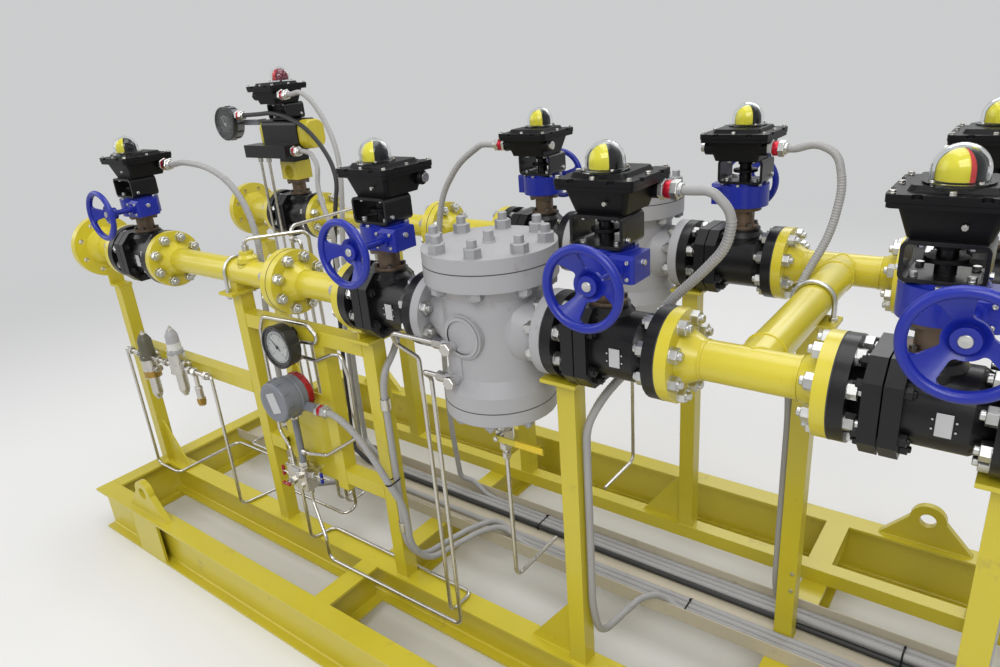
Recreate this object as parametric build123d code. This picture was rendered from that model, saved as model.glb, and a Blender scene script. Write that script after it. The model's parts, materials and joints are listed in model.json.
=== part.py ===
from build123d import *
import os
from math import radians, tan

os.makedirs("parts", exist_ok=True)

# Pipe runs along X: lengths of their pieces from the inlet to the outlet
end_spool_length = 269.0
valve_length = 283.0
long_spool_length = 730.0
short_spool_length = 337.0
vessel_length = 410.0
tee_spool_length = 339.0
run_y = 375.0
pipe_z = 1220.0
pipe_radius = 44.45
pipe_wall = 5.5
flange_radius = 105.0
flange_depth = 28.6
hub_radius = 66.0
hub_length = 41.0
end_pipe_radius = 57.15
end_flange_radius = 127.0
end_flange_depth = 32.0
end_hub_radius = 80.0
end_hub_length = 44.0
end_bolt_circle = 200.0
end_bolt_hole_radius = 10.0
end_bolt_count = 8
tee_branch = 86.0
branch_boss_radius = 24.0
branch_boss_foot = 34.0
branch_boss_height = 34.0
branch_boss_slope = 12.0
branch_boss_back = 229.0
weld_height = 1.5
weld_width = 7.0

# Skid frame
run_overhang = 42.0
side_beam_depth = 203.0
beam_flange = 76.0
side_beam_y = 670.0
flange_sheet = 10.0
web_sheet = 7.0
root_fillet = 8.0
inner_rail_depth = 152.0
left_cross_back = 154.0
right_cross_ahead = 15.0
stub_back = 150.0
bridging_width = 74.0
tube_width = 50.8
tube_wall = 4.8

# Lifting lugs
lug_inset = 399.0
lug_thickness = 25.0
lug_length = 280.0
lug_height = 150.0
lug_round = 55.0
lug_hole_radius = 25.0
lug_cover_length = 200.0
lug_cover_sheet = 10.0

# Ball valves
split_start = 88.0
split_plate = 31.0
split_gap = 3.0
split_half = 97.0
split_corner = 38.0
ball_body_radius = 80.0
tailpiece_radius = 60.0
body_end_slope = 34.0
neck_radius = 50.0
neck_height = 98.0
neck_foot_radius = 60.0
neck_foot_height = 78.0
neck_rim = 8.0
bonnet_flange_radius = 44.0
bonnet_flange_height = 9.0
bonnet_radius = 31.0
top_pad_radius = 50.0
top_pad_height = 14.0
front_stem_shift = (6.0, -16.0, -16.0, 0.0)
back_stem_shift = (0.0, 9.0, 24.0, 0.0)

# Worm gear operators, measured from the valve axis and stem
gear_bottom = 166.0
gear_height = 62.0
gear_radius = 68.0
gear_cover_radius = 52.0
gear_cover_height = 5.0
worm_offset = 56.0
worm_lift = 30.0
worm_case_side = 38.0
worm_case_front = 62.0
worm_case_back = 24.0
worm_case_drop = 2.0
worm_end_gap = 2.0
worm_case_chamfer = 9.0
worm_nose_radius = 18.0
worm_nose_length = 8.0
worm_shaft_radius = 9.5
worm_shaft_seat = 20.0
running_clearance = 0.08
wheel_radius = 91.4
wheel_rim_radius = 9.4
wheel_hub_radius = 21.0
wheel_hub_length = 34.0
wheel_dish = 36.0
wheel_reach = 205.0
short_wheel_reach = 178.0
wheel_turns = {"v1": 30, "v2": 30, "v3": -30, "v4": -45, "b2": 30, "b3": 75, "b4": 0}
wheel_web = 8.0
wheel_window_inner = 34.0
wheel_window_outer = 74.0
wheel_window_corner = 9.0
spoke_angle = 40.0
spoke_count = 3

# Switch boxes on their open brackets, measured from the stem
bracket_height = 71.0
bracket_width = 128.0
bracket_depth = 100.0
bracket_sheet = 7.0
bracket_corner = 14.0
coupler_radius = 17.0
lid_width = 188.0
lid_depth = 190.0
lid_front = 67.0
lid_height = 14.0
lid_corner = 12.0
lid_overlap = 1.5
lid_notch = 8.0
box_height = 63.0
box_rim = 9.0
bowl_inset = 17.0
foot_inset = 33.0
plateau_inset = 26.0
plateau_height = 10.0
port_radius = 20.0
port_reach = 87.0
port_y = 80.0
port_height = 36.0
left_led = ("v2", "b2")
plug_radius = 13.0
plug_reach = 12.0
dome_radius = 43.0
dome_wall = 2.5
dome_straight = 20.0
dome_flange_radius = 52.0
dome_flange_height = 4.0
spindle_radius = 5.0
spindle_seat = 8.0
spindle_end_gap = 2.0
beacon_radius = 35.0
beacon_straight = 14.0
beacon_lift = 5.5

# Rack actuator on the first valve of the back run
pedestal_width = 110.0
pedestal_depth = 84.0
pedestal_height = 80.0
pedestal_window = 30.0
pedestal_window_height = 34.0
adapter_width = 92.0
adapter_height = 54.0
actuator_half = 122.0
actuator_width = 116.0
actuator_height = 130.0
actuator_corner = 26.0
cap_width = 104.0
cap_height = 122.0
cap_corner = 38.0
cap_lengths = (34.0, 60.0)
cap_taper = 12.0
solenoid_depth = 92.0
solenoid_root = 8.0
solenoid_height = 54.0
solenoid_length = 290.0
solenoid_back = 167.0
solenoid_drop = 24.0
stack_gap = 70.0
dial_radius = 74.0
dial_depth = 56.0
dial_rim = 9.0
dial_glass_drop = 8.0
dial_gland = 35.0
dial_x = -336.0
dial_y = -75.0
dial_z = 420.0
dial_arm = 12.0

# Filter vessels, measured from the run axis
cover_radius = 170.0
cover_top = 206.0
cover_bottom = 170.0
body_flange_bottom = 124.0
neck_in = 34.0
vessel_radius = 132.0
vessel_flare = 40.0
low_flange_radius = 149.0
low_flange_top = -156.0
low_flange_bottom = -197.0
low_cover_bottom = -234.0
nozzle_radius = 62.0
nozzle_root_radius = 92.0
nozzle_root_x = 112.0
port_ring_radius = 58.0
port_ring_reach = 137.0
tap_x = -30.0
tap_heights = (-26.0, -117.0)
tap_radius = 13.0
tap_reach = 160.0
tap_side_inset = 16.0
tap_side_reach = 30.0
tap_bracket_reach = 134.0
tap_bracket_width = 34.0

# Posts, placed from the flanges that they carry
second_post_back = 305.0
third_post_ahead = 3.0
fourth_post_ahead = 14.0
fifth_post_ahead = 5.0
crossover_post_y = 75.0
plate_sheet = 10.0
plate_length = 100.0
plate_width = 120.0
clip_width = 60.0
clip_drop = 43.0
clip_gap = 8.0
clamp_plate_length = 80.0
clamp_plate_width = 130.0
clamp_rod = 6.0
clamp_gap = 0.3
clamp_tail = 15.0
clamp_hole_gap = 0.5
rest_height = 20.0
rest_length = 40.0
rest_width = 56.0
rest_wrap = 12.0
saddle_sheet = 8.0
saddle_length = 60.0
saddle_spread = 60.0
saddle_lift = 20.0
saddle_web = 96.0
gusset_length = 150.0
gusset_height = 200.0
gusset_sheet = 8.0

# Instrument frame in the plane of the front run
top_rail_drop = 171.0
mid_rail_drop = 443.0
stub_bar_drop = 650.0
low_bar_drop = 685.4
stub_bar_reach = 82.6
frame_post_back = 235.0
frame_post_foot = 742.0
panel_bottom_drop = 738.0
panel_top_drop = 400.0
panel_sheet = 6.0

# Cable tray
tray_front = -43.0
tray_back = 190.0
tray_height = 50.0
tray_sheet = 3.0
tray_end_gap = 5.0
tray_slot_length = 380.0
tray_slot_width = 18.0
tray_slot_count = 7
tray_slot_pitch = 440.0
tray_slot_rows = 140.0
post_notch = 3.0

# Conduits, tubing and connectors
conduit_radius = 10.5
bend_share = 0.45
cable_radius = 9.5
tubing_radius = 6.35
tubing_bend = 28.0
connector_radius = 16.0
connector_lead = 20.0
connector_length = 52.0
lane_pitch = 21.5
lane_front = -26.5
tube_low_z = 210.0
nut_radius = 11.5
nut_length = 18.0
fit_gap = 0.3
lane_back = 112.0
lane_pitch_back = 21.4
lane_end_gap = 20.0
lip_height = 217.0
lip_rise = 16.0
lane_drop = 80.0
top_layer = 21.5
sleeve_heights = (862.0, 412.0)
sleeve_step = (45.0, -25.0)
sleeve_length = 36.0
supply_back = 77.5
supply_pitch = 60.0
vent_foot = 330.0

# Gauge, transmitter and manifold: places from the second post, the front run and the pipe height
gauge_x = 292.0
gauge_y = -80.0
gauge_drop = 199.0
gauge_radius = 72.0
gauge_depth = 44.0
gauge_rim = 7.0
gauge_glass_drop = 8.0
gauge_mount_radius = 20.0
transmitter_x = 280.0
transmitter_drop = 384.0
transmitter_radius = 68.0
transmitter_front = -146.0
transmitter_length = 92.0
transmitter_ring = 22.0
transmitter_rim = 4.0
transmitter_lead_drop = 32.0
transmitter_neck = 48.0
transmitter_cell = 20.0
manifold_x = 232.0
manifold_y = -62.0
manifold_drop = 718.0
manifold_stem = 24.0
manifold_length = 104.0
manifold_width = 44.0
manifold_height = 92.0
handle_length = 60.0
handle_radius = 4.0
handle_spread = 18.0
valve_nose = 22.0

# Pilot regulators on the rail between the first posts
pilot_y = -66.0
pilot_x = (-694.0, -454.0)
pilot_bell_radius = (30.0, 26.0)
pilot_bell_height = (106.0, 96.0)
pilot_bell_foot = (-445.0, -373.0)
pilot_body_radius = 33.0
pilot_body_height = 84.0
pilot_low_radius = 21.0
pilot_low_height = 92.0
fitting_lift = 8.0
fitting_left = 844.0
fitting_right = 256.0
fitting_hang = 343.0
fitting_drop = 143.0
fitting_radius = 9.0
fitting_nut_radius = 14.0
fitting_nuts = (840.0, 780.0, 620.0, 560.0, 390.0, 352.0, 274.0)

# Drain valves
drain_drop = 330.0
drain_pipe_radius = 12.0
drain_body_radius = 22.0
drain_body_height = 48.0
drain_tail = 30.0
gland_radius = 11.0
gland_reach = 32.0
drain_stem_radius = 5.0
stem_seat = 12.0
lever_length = 150.0
lever_width = 18.0
lever_sheet = 4.0
lever_gap = 3.0
drain_pipe_foot = 400.0
drain_pipe_run = 215.0

# Values worked out from those above
run_length = 2 * end_spool_length + 4 * valve_length + long_spool_length + short_spool_length + vessel_length + tee_spool_length
end_face_x = run_length / 2
valve_half = valve_length / 2
v1_x = -end_face_x + end_spool_length + valve_half
joint_x = v1_x + valve_half + long_spool_length
v2_x = joint_x + short_spool_length + valve_half
vessel_x = v2_x + valve_half + vessel_length / 2
v3_x = vessel_x + vessel_length / 2 + valve_half
branch_x = v3_x + valve_half + tee_spool_length / 2
v4_x = branch_x + tee_spool_length / 2 + valve_half
valve_x = (v1_x, v2_x, v3_x, v4_x)
skid_half = end_face_x - run_overhang
end_beam_x = skid_half - beam_flange / 2
inner_end_x = skid_half - beam_flange
side_inner_y = side_beam_y - beam_flange / 2
beam_top = side_beam_depth
inner_rail_bottom = beam_top - inner_rail_depth
tube_half = tube_width / 2
post_x = (-end_beam_x, joint_x - second_post_back, v2_x - valve_half + third_post_ahead,
          vessel_x + vessel_length / 2 + fourth_post_ahead, v4_x + valve_half + fifth_post_ahead)
cross_x = (post_x[2] - left_cross_back, branch_x + right_cross_ahead)
stub_x = post_x[2] - stub_back
gear_top = gear_bottom + gear_height
worm_height = gear_bottom + worm_lift
bracket_foot = gear_top + gear_cover_height
box_foot = bracket_foot + bracket_height
plateau_top = box_height + lid_height + plateau_height
box_centre_y = lid_depth / 2 - lid_front
pipe_bore = pipe_radius - pipe_wall
clamp_reach = pipe_radius + clamp_rod + clamp_gap
tray_foot = inner_rail_depth
parts = {}


def add(name, *solids):
    """Puts solids under a sub-part's name."""
    parts.setdefault(name, []).extend(solids)


def block(x0, x1, y0, y1, z0, z1):
    """Box between two corners."""
    centre = ((x0 + x1) / 2, (y0 + y1) / 2, (z0 + z1) / 2)
    return Pos(*centre) * Box(abs(x1 - x0), abs(y1 - y0), abs(z1 - z0))


def rod(start, end, radius):
    """Round bar between two points."""
    a, b = Vector(*start), Vector(*end)
    plane = Plane(origin=a, z_dir=b - a)
    return plane * Cylinder(radius, (b - a).length, align=(Align.CENTER, Align.CENTER, Align.MIN))


def turned_x(outline, bore=0.0):
    """Solid of revolution about X from (x, radius) pairs, with an optional bore."""
    corners = [(outline[0][0], bore)] + list(outline) + [(outline[-1][0], bore)]
    return revolve(make_face(Polyline(*corners, close=True)), Axis.X)


def turned_z(outline, bore=0.0):
    """Solid of revolution about Z from (z, radius) pairs, with an optional bore."""
    corners = [(bore, outline[0][0])] + [(r, z) for z, r in outline] + [(bore, outline[-1][0])]
    return revolve(Plane.XZ * make_face(Polyline(*corners, close=True)), Axis.Z)


def upright(origin):
    """Plane with its X along X and its Y along Z, facing the front."""
    return Plane(origin=origin, x_dir=(1, 0, 0), z_dir=(0, -1, 0))


def beam_profile(depth):
    """I-beam section standing on the origin, with root fillets."""
    low = Pos(0, flange_sheet / 2) * Rectangle(beam_flange, flange_sheet)
    top = Pos(0, depth - flange_sheet / 2) * Rectangle(beam_flange, flange_sheet)
    web = Pos(0, depth / 2) * Rectangle(web_sheet, depth - 2 * flange_sheet)
    section = low + web + top
    roots = [v for v in section.vertices() if abs(abs(v.X) - web_sheet / 2) < 0.01]
    return fillet(roots, root_fillet)


def beam_along_x(x0, x1, y, z, depth):
    """I-beam along X."""
    plane = Plane(origin=(x0, y, z), x_dir=(0, 1, 0), z_dir=(1, 0, 0))
    return extrude(plane * beam_profile(depth), x1 - x0)


def beam_along_y(y0, y1, x, z, depth):
    """I-beam along Y."""
    plane = Plane(origin=(x, y1, z), x_dir=(1, 0, 0), z_dir=(0, -1, 0))
    return extrude(plane * beam_profile(depth), y1 - y0)


def square_section():
    """Square tube section."""
    bore = tube_width - 2 * tube_wall
    return Rectangle(tube_width, tube_width) - Rectangle(bore, bore)


def tube_along_x(x0, x1, y, z):
    """Square tube along X, z at its centre line."""
    plane = Plane(origin=(x0, y, z), x_dir=(0, 1, 0), z_dir=(1, 0, 0))
    return extrude(plane * square_section(), x1 - x0)


def post(x, y, z0, z1):
    """Upright square tube."""
    return extrude(Plane(origin=(x, y, z0)) * square_section(), z1 - z0)


def bent(points, radius, limit=None):
    """Round bar or hose along straight runs, each bend as wide as the shorter run beside it allows."""
    radii = []
    for a, b, c in zip(points, points[1:], points[2:]):
        before, after = Vector(*b) - Vector(*a), Vector(*c) - Vector(*b)
        turn = before.get_angle(after)
        widest = bend_share * min(before.length, after.length) / tan(radians(turn / 2))
        radii.append(min(widest, limit) if limit else widest)
    path = FilletPolyline(*points, radius=radii)
    start = Plane(origin=path @ 0, z_dir=path % 0)
    return sweep(start * Circle(radius), path=path)


def tube_line(*points):
    """Steel tubing with small bends and a nut at each end."""
    line = bent(points, tubing_radius, tubing_bend)
    for end, inner in ((points[0], points[1]), (points[-1], points[-2])):
        a, b = Vector(*end), Vector(*inner)
        line += rod(end, tuple(a + (b - a).normalized() * nut_length), nut_radius)
    return line


def connector(start, direction):
    """Conduit connector: body, ring and nut along a direction."""
    r, n = connector_radius, connector_length
    outline = [(0, r), (0.34 * n, r), (0.34 * n, 1.08 * r), (0.5 * n, 1.08 * r), (0.5 * n, 0.94 * r), (0.88 * n, 0.94 * r),
               (n, 0.74 * r)]
    return Plane(origin=start, z_dir=direction) * turned_z(outline)


# Skid frame: side beams on the outside, the end beams between them, the inner rails between those
for side in (-1, 1):
    add("side_beams", beam_along_x(-skid_half, skid_half, side * side_beam_y, 0, side_beam_depth))
    add("end_beams", beam_along_y(-side_inner_y, side_inner_y, side * end_beam_x, 0, side_beam_depth))
add("inner_rails", beam_along_x(-inner_end_x, inner_end_x, -run_y, inner_rail_bottom, inner_rail_depth))
add("inner_rails", tube_along_x(-inner_end_x, inner_end_x, run_y, beam_top - tube_half))
for x in cross_x:
    add("cross_beams", beam_along_y(-run_y + beam_flange / 2, side_inner_y, x, 0, inner_rail_depth))
add("cross_beams", beam_along_y(-side_inner_y, -run_y - beam_flange / 2, stub_x, inner_rail_bottom, inner_rail_depth))
bridge_x0, bridge_x1 = cross_x[1] - bridging_width / 2, cross_x[1] + bridging_width / 2
add("bridging_piece", block(bridge_x0, bridge_x1, run_y + tube_half, side_inner_y, inner_rail_depth, beam_top))


def lifting_lug(x, y):
    """Lug plate with its eye, standing on a side beam."""
    eye = lug_height - lug_round
    foot = Polygon((-lug_length / 2, 0), (lug_length / 2, 0), (lug_round, eye), (-lug_round, eye), align=None)
    outline = foot + Pos(0, eye) * Circle(lug_round) - Pos(0, eye) * Circle(lug_hole_radius)
    return extrude(upright((x, y, beam_top)) * outline, lug_thickness / 2, both=True)


for x in (lug_inset - skid_half, skid_half - lug_inset):
    for side in (-1, 1):
        outer = side * (side_beam_y + beam_flange / 2)
        inner = outer - side * lug_cover_sheet
        x0, x1 = x - lug_cover_length / 2, x + lug_cover_length / 2
        add("lifting_lugs", lifting_lug(x, side * side_beam_y))
        add("lug_covers", block(x0, x1, inner, outer, flange_sheet, side_beam_depth - flange_sheet))


# Supports under the runs
def flat_plate(x, y, top):
    """Top plate of a post."""
    half_x, half_y = plate_length / 2, plate_width / 2
    return block(x - half_x, x + half_x, y - half_y, y + half_y, top - plate_sheet, top)


def clamp_plate():
    """Plate with two holes for a U-bolt, its top face at the origin, the pipe along X."""
    hole = Circle(clamp_rod + clamp_hole_gap)
    face = Rectangle(clamp_plate_length, clamp_plate_width) - Pos(0, clamp_reach) * hole - Pos(0, -clamp_reach) * hole
    return Pos(0, 0, -plate_sheet) * extrude(face, plate_sheet)


def u_bolt(foot):
    """U-bolt over a pipe along X, the pipe's axis through the origin."""
    first, last = Line((-clamp_reach, foot), (-clamp_reach, 0)), Line((clamp_reach, 0), (clamp_reach, foot))
    path = Plane.YZ * (first + CenterArc((0, 0), clamp_reach, 180, -180) + last)
    return sweep(Plane(origin=(0, -clamp_reach, foot)) * Circle(clamp_rod), path=path)


def pipe_rest():
    """Rest between a clamp plate and the pipe, the pipe's axis through the origin."""
    half = rest_length / 2
    foot = -pipe_radius - rest_height
    body = block(-half, half, -rest_width / 2, rest_width / 2, foot, -pipe_radius + rest_wrap)
    return body - rod((-rest_length, 0, 0), (rest_length, 0, 0), pipe_radius)


def flange_saddle():
    """Curved saddle under a flange joint on its web, the pipe's axis through the origin."""
    half = saddle_length / 2
    low, high = -flange_radius - saddle_lift, -flange_radius + saddle_lift
    ring = rod((-half, 0, 0), (half, 0, 0), flange_radius + saddle_sheet)
    keep = block(-half, half, -saddle_spread, saddle_spread, low, high)
    web = block(-saddle_sheet / 2, saddle_sheet / 2, -saddle_web / 2, saddle_web / 2, low, -flange_radius)
    return (ring & keep) + web - rod((-saddle_length, 0, 0), (saddle_length, 0, 0), flange_radius)


def gusset(x, y, side):
    """Triangular foot plate beside a post, side is plus or minus one along X."""
    face = Polygon((0, 0), (side * gusset_length, 0), (0, gusset_height), align=None)
    return extrude(upright((x + side * tube_half, y, beam_top)) * face, gusset_sheet / 2, both=True)


flange_bottom = pipe_z - flange_radius
clip_top = pipe_z - end_hub_radius - clip_gap
clip_foot = pipe_z - end_flange_radius - clip_drop
clip_x = -end_face_x + end_flange_depth
rest_foot = pipe_z - pipe_radius - rest_height
saddle_foot = flange_bottom - saddle_lift
for side in (-1, 1):
    y = side * run_y
    y0, y1 = y - clip_width / 2, y + clip_width / 2
    add("posts", post(post_x[0], y, beam_top, clip_foot))
    shelf = block(clip_x, post_x[0] + tube_half, y0, y1, clip_foot, clip_foot + plate_sheet)
    add("post_plates", shelf + block(clip_x, clip_x + plate_sheet, y0, y1, clip_foot, clip_top))
    add("posts", post(post_x[1], y, beam_top, rest_foot - plate_sheet))
    add("post_plates", Pos(post_x[1], y, rest_foot) * clamp_plate())
    add("pipe_rests", Pos(post_x[1], y, pipe_z) * pipe_rest())
    add("pipe_clamps", Pos(post_x[1], y, pipe_z) * u_bolt(rest_foot - plate_sheet - clamp_tail - pipe_z))
    add("posts", post(post_x[2], y, beam_top, saddle_foot - plate_sheet))
    add("post_plates", flat_plate(post_x[2], y, saddle_foot))
    add("pipe_rests", Pos(v2_x - valve_half, y, pipe_z) * flange_saddle())
    for x in post_x[3:]:
        add("posts", post(x, y, beam_top, flange_bottom - plate_sheet))
        add("post_plates", flat_plate(x, y, flange_bottom))
    add("gussets", gusset(post_x[0], y, 1))
    add("gussets", gusset(post_x[3], y, -1))
crossover_rest = pipe_z - pipe_radius
crossover_bolt = u_bolt(-pipe_radius - plate_sheet - clamp_tail)
add("posts", post(branch_x, crossover_post_y, inner_rail_depth, crossover_rest - plate_sheet))
add("post_plates", Pos(branch_x, crossover_post_y, crossover_rest) * Rot(0, 0, 90) * clamp_plate())
add("pipe_clamps", Pos(branch_x, crossover_post_y, pipe_z) * Rot(0, 0, 90) * crossover_bolt)


# Piping
def spool(x0, x1, y):
    """Straight pipe with a weld-neck flange and a weld bead at each end."""
    a, b = x0 + flange_depth, x1 - flange_depth
    c, d = a + hub_length, b - hub_length
    bead = pipe_radius + weld_height
    outline = [(x0, flange_radius), (a, flange_radius), (a, hub_radius), (c, pipe_radius), (c, bead), (c + weld_width, bead),
               (c + weld_width, pipe_radius), (d - weld_width, pipe_radius), (d - weld_width, bead), (d, bead), (d, pipe_radius),
               (b, hub_radius), (b, flange_radius), (x1, flange_radius)]
    return Pos(0, y, pipe_z) * turned_x(outline, pipe_bore)


def end_spool(face, joint, y):
    """Reducing spool: the larger end flange with its bolt holes, the cone and the flange at the valve."""
    s = 1 if joint > face else -1
    neck = face + s * end_flange_depth
    cone = neck + s * end_hub_length
    hub = joint - s * flange_depth
    slim = hub - s * hub_length
    outer = [(face, end_flange_radius), (neck, end_flange_radius), (neck, end_hub_radius), (cone, end_pipe_radius),
             (slim, pipe_radius), (hub, hub_radius), (hub, flange_radius), (joint, flange_radius)]
    end_bore = end_pipe_radius - pipe_wall
    body = turned_x(outer) - turned_x([(face, end_bore), (cone, end_bore), (slim, pipe_bore), (joint, pipe_bore)])
    circle = Plane(origin=(face, 0, 0), x_dir=(0, 1, 0), z_dir=(s, 0, 0))
    drill = Cylinder(end_bolt_hole_radius, end_flange_depth, align=(Align.CENTER, Align.CENTER, Align.MIN))
    for place in circle * PolarLocations(end_bolt_circle / 2, end_bolt_count, 180 / end_bolt_count):
        body -= place * drill
    return Pos(0, y, pipe_z) * body


socket_x = joint_x - branch_boss_back
socket_top = pipe_radius + branch_boss_height
socket = turned_z([(pipe_bore + 1, branch_boss_foot), (pipe_radius + branch_boss_slope, branch_boss_foot),
                   (socket_top - branch_boss_slope, branch_boss_radius), (socket_top, branch_boss_radius)])
tee_x0, tee_x1 = v3_x + valve_half, v4_x - valve_half
branch_y = run_y - tee_branch
for side in (-1, 1):
    y = side * run_y
    add("end_spools", end_spool(-end_face_x, v1_x - valve_half, y))
    add("end_spools", end_spool(end_face_x, v4_x + valve_half, y))
    add("run_spools", spool(v1_x + valve_half, joint_x, y) + Pos(socket_x, y, pipe_z) * socket)
    add("run_spools", spool(joint_x, v2_x - valve_half, y))
    branch = (branch_x, y, pipe_z), (branch_x, side * branch_y, pipe_z)
    through = (tee_x0, y, pipe_z), (tee_x1, y, pipe_z)
    add("run_spools", spool(tee_x0, tee_x1, y) + rod(*branch, pipe_radius) - rod(*branch, pipe_bore) - rod(*through, pipe_bore))
ends = (branch_x, -branch_y, pipe_z), (branch_x, branch_y, pipe_z)
add("crossover_pipe", rod(*ends, pipe_radius) - rod(*ends, pipe_bore))


# Ball valves
def split_flange(x):
    """Nearly square half of the bolted body joint with cut corners, x at its left face."""
    plate = block(x, x + split_plate, -split_half, split_half, -split_half, split_half)
    return chamfer(plate.edges().filter_by(Axis.X), split_corner)


def valve_body(stem_x):
    """Split-body ball valve, its middle at the origin, its stem upwards at stem_x."""
    h = valve_half
    a, f = -h + flange_depth, h - flange_depth
    b, e = -split_start, -split_start + 2 * split_plate + split_gap
    outline = [(-h, flange_radius), (a, flange_radius), (a, tailpiece_radius), (b, ball_body_radius), (e, ball_body_radius),
               (f - body_end_slope, ball_body_radius), (f, tailpiece_radius), (f, flange_radius), (h, flange_radius)]
    neck = turned_z([(0, neck_foot_radius), (neck_foot_height, neck_foot_radius), (neck_height - neck_rim, neck_radius),
                     (neck_height, neck_radius)])
    return turned_x(outline) + split_flange(b) + split_flange(b + split_plate + split_gap) + Pos(stem_x, 0, 0) * neck


def valve_bonnet():
    """Bare stem housing between the body's neck and the gear case."""
    a, b = neck_height + bonnet_flange_height, gear_bottom - top_pad_height
    return turned_z([(neck_height, bonnet_flange_radius), (a, bonnet_flange_radius), (a, bonnet_radius), (b, bonnet_radius),
                     (b, top_pad_radius), (gear_bottom, top_pad_radius)])


for side, shifts in ((-1, front_stem_shift), (1, back_stem_shift)):
    for x, shift in zip(valve_x, shifts):
        place = Pos(x, side * run_y, pipe_z)
        add("valve_bodies", place * valve_body(shift))
        add("valve_bonnets", place * Pos(shift, 0, 0) * valve_bonnet())


# Worm gear operators
def gearbox():
    """Round gear case with the worm case beside it, stem at the origin, wheel towards minus Y."""
    side = worm_offset + worm_case_side
    case = rod((0, 0, gear_bottom), (0, 0, gear_top), gear_radius)
    worm = block(0, side, -worm_case_front, worm_case_back, gear_bottom, gear_top - worm_case_drop)
    worm = chamfer(worm.edges().filter_by(Axis.X).group_by(Axis.Z)[-1], worm_case_chamfer)
    worm = fillet(worm.edges().filter_by(Axis.Z).group_by(Axis.X)[-1], worm_case_chamfer)
    cover = rod((0, 0, gear_top), (0, 0, bracket_foot), gear_cover_radius)
    face, tip = -worm_case_front, -worm_case_front - worm_nose_length
    nose = rod((worm_offset, face, worm_height), (worm_offset, tip, worm_height), worm_nose_radius)
    seat = face + worm_shaft_seat + worm_end_gap
    bore = rod((worm_offset, tip, worm_height), (worm_offset, seat, worm_height), worm_shaft_radius + running_clearance)
    return case + worm + cover + nose - bore


def wheel_window():
    """Rounded opening between two spokes."""
    span = 360 / spoke_count - spoke_angle
    outer = CenterArc((0, 0), wheel_window_outer, 90 - span / 2, span)
    inner = CenterArc((0, 0), wheel_window_inner, 90 - span / 2, span)
    face = make_face(outer + inner + Line(outer @ 0, inner @ 0) + Line(outer @ 1, inner @ 1))
    return fillet(face.vertices(), wheel_window_corner)


def handwheel(reach, turn):
    """Dished handwheel with its shaft, stem of the valve at the origin, the rim at a reach in front."""
    ring = wheel_radius - wheel_rim_radius
    half = wheel_web / 2
    back, front = -wheel_dish - half, -wheel_dish + half
    dish = Polyline((0, back), (wheel_hub_radius, back), (ring, -half), (ring, half), (wheel_hub_radius, front), (0, front), close=True)
    web = revolve(Plane.XZ * make_face(dish), Axis.Z)
    for k in range(spoke_count):
        web -= Rot(0, 0, 360 / spoke_count * k) * extrude(wheel_window(), 2 * wheel_dish, both=True)
    hub = Pos(0, 0, -wheel_dish) * Cylinder(wheel_hub_radius, wheel_hub_length)
    wheel = Torus(ring, wheel_rim_radius) + web + hub
    place = Plane(origin=(worm_offset, -reach, worm_height), x_dir=(1, 0, 0), z_dir=(0, -1, 0))
    seat = -worm_case_front + worm_shaft_seat
    shaft = rod((worm_offset, seat, worm_height), (worm_offset, -reach + wheel_dish, worm_height), worm_shaft_radius)
    return place * Rot(0, 0, turn) * wheel + shaft


stem_x = {}
for side, row, shifts in ((-1, "v", front_stem_shift), (1, "b", back_stem_shift)):
    for k in range(4):
        stem_x[f"{row}{k + 1}"] = valve_x[k] + shifts[k]
for name, turn in wheel_turns.items():
    front = name[0] == "v"
    place = Pos(stem_x[name], -run_y if front else run_y, pipe_z) * Rot(0, 0, 0 if front else 180)
    add("gearboxes", place * gearbox())
    add("handwheel_" + name, place * handwheel(short_wheel_reach if name == "v1" else wheel_reach, turn))


# Switch boxes with clear domes and turning beacons, each from the foot of its box
def switch_bracket(height):
    """Open bracket of bent sheet with its coupler, standing on the origin."""
    half = bracket_depth / 2
    sleeve = fillet(Rectangle(bracket_width, height).vertices(), bracket_corner)
    inner = Rectangle(bracket_width - 2 * bracket_sheet, height - 2 * bracket_sheet)
    inner = fillet(inner.vertices(), bracket_corner - bracket_sheet)
    body = extrude(upright((0, 0, height / 2)) * (sleeve - inner), half, both=True)
    return body + rod((0, 0, bracket_sheet), (0, 0, height - bracket_sheet), coupler_radius)


def box_outline(inset, z):
    """Rounded outline of a switch box, drawn in from the lid's edge."""
    outline = fillet(Rectangle(lid_width - 2 * inset, lid_depth - 2 * inset).vertices(), lid_corner)
    return Plane(origin=(0, box_centre_y, z)) * outline


def switch_box():
    """Bowl under the lid with its rim and its two ports."""
    rim_z = box_height - box_rim
    bowl = loft([box_outline(foot_inset, 0), box_outline(bowl_inset, rim_z)])
    rim = extrude(box_outline(lid_overlap, rim_z), box_rim)
    ports = rod((-port_reach, port_y, port_height), (port_reach, port_y, port_height), port_radius)
    return bowl + rim + ports


def switch_lid():
    """Lid with notches between its bolt lugs, a raised middle and the spindle's hole."""
    lid = extrude(box_outline(0, box_height), lid_height)
    top = box_height + lid_height
    notch = Plane(origin=(0, box_centre_y, top)) * Cylinder(lid_notch, lid_height)
    for sx in (-1, 1):
        for sy in (-1, 1):
            lid -= Pos(sx * lid_width / 2, sy * lid_depth / 4, 0) * notch
            lid -= Pos(sx * lid_width / 4, sy * lid_depth / 2, 0) * notch
    plateau = loft([box_outline(plateau_inset, top), box_outline(plateau_inset + plateau_height / 2, plateau_top)])
    hole = rod((0, 0, plateau_top - spindle_seat - spindle_end_gap), (0, 0, plateau_top), spindle_radius + running_clearance)
    return lid + plateau - hole


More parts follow.
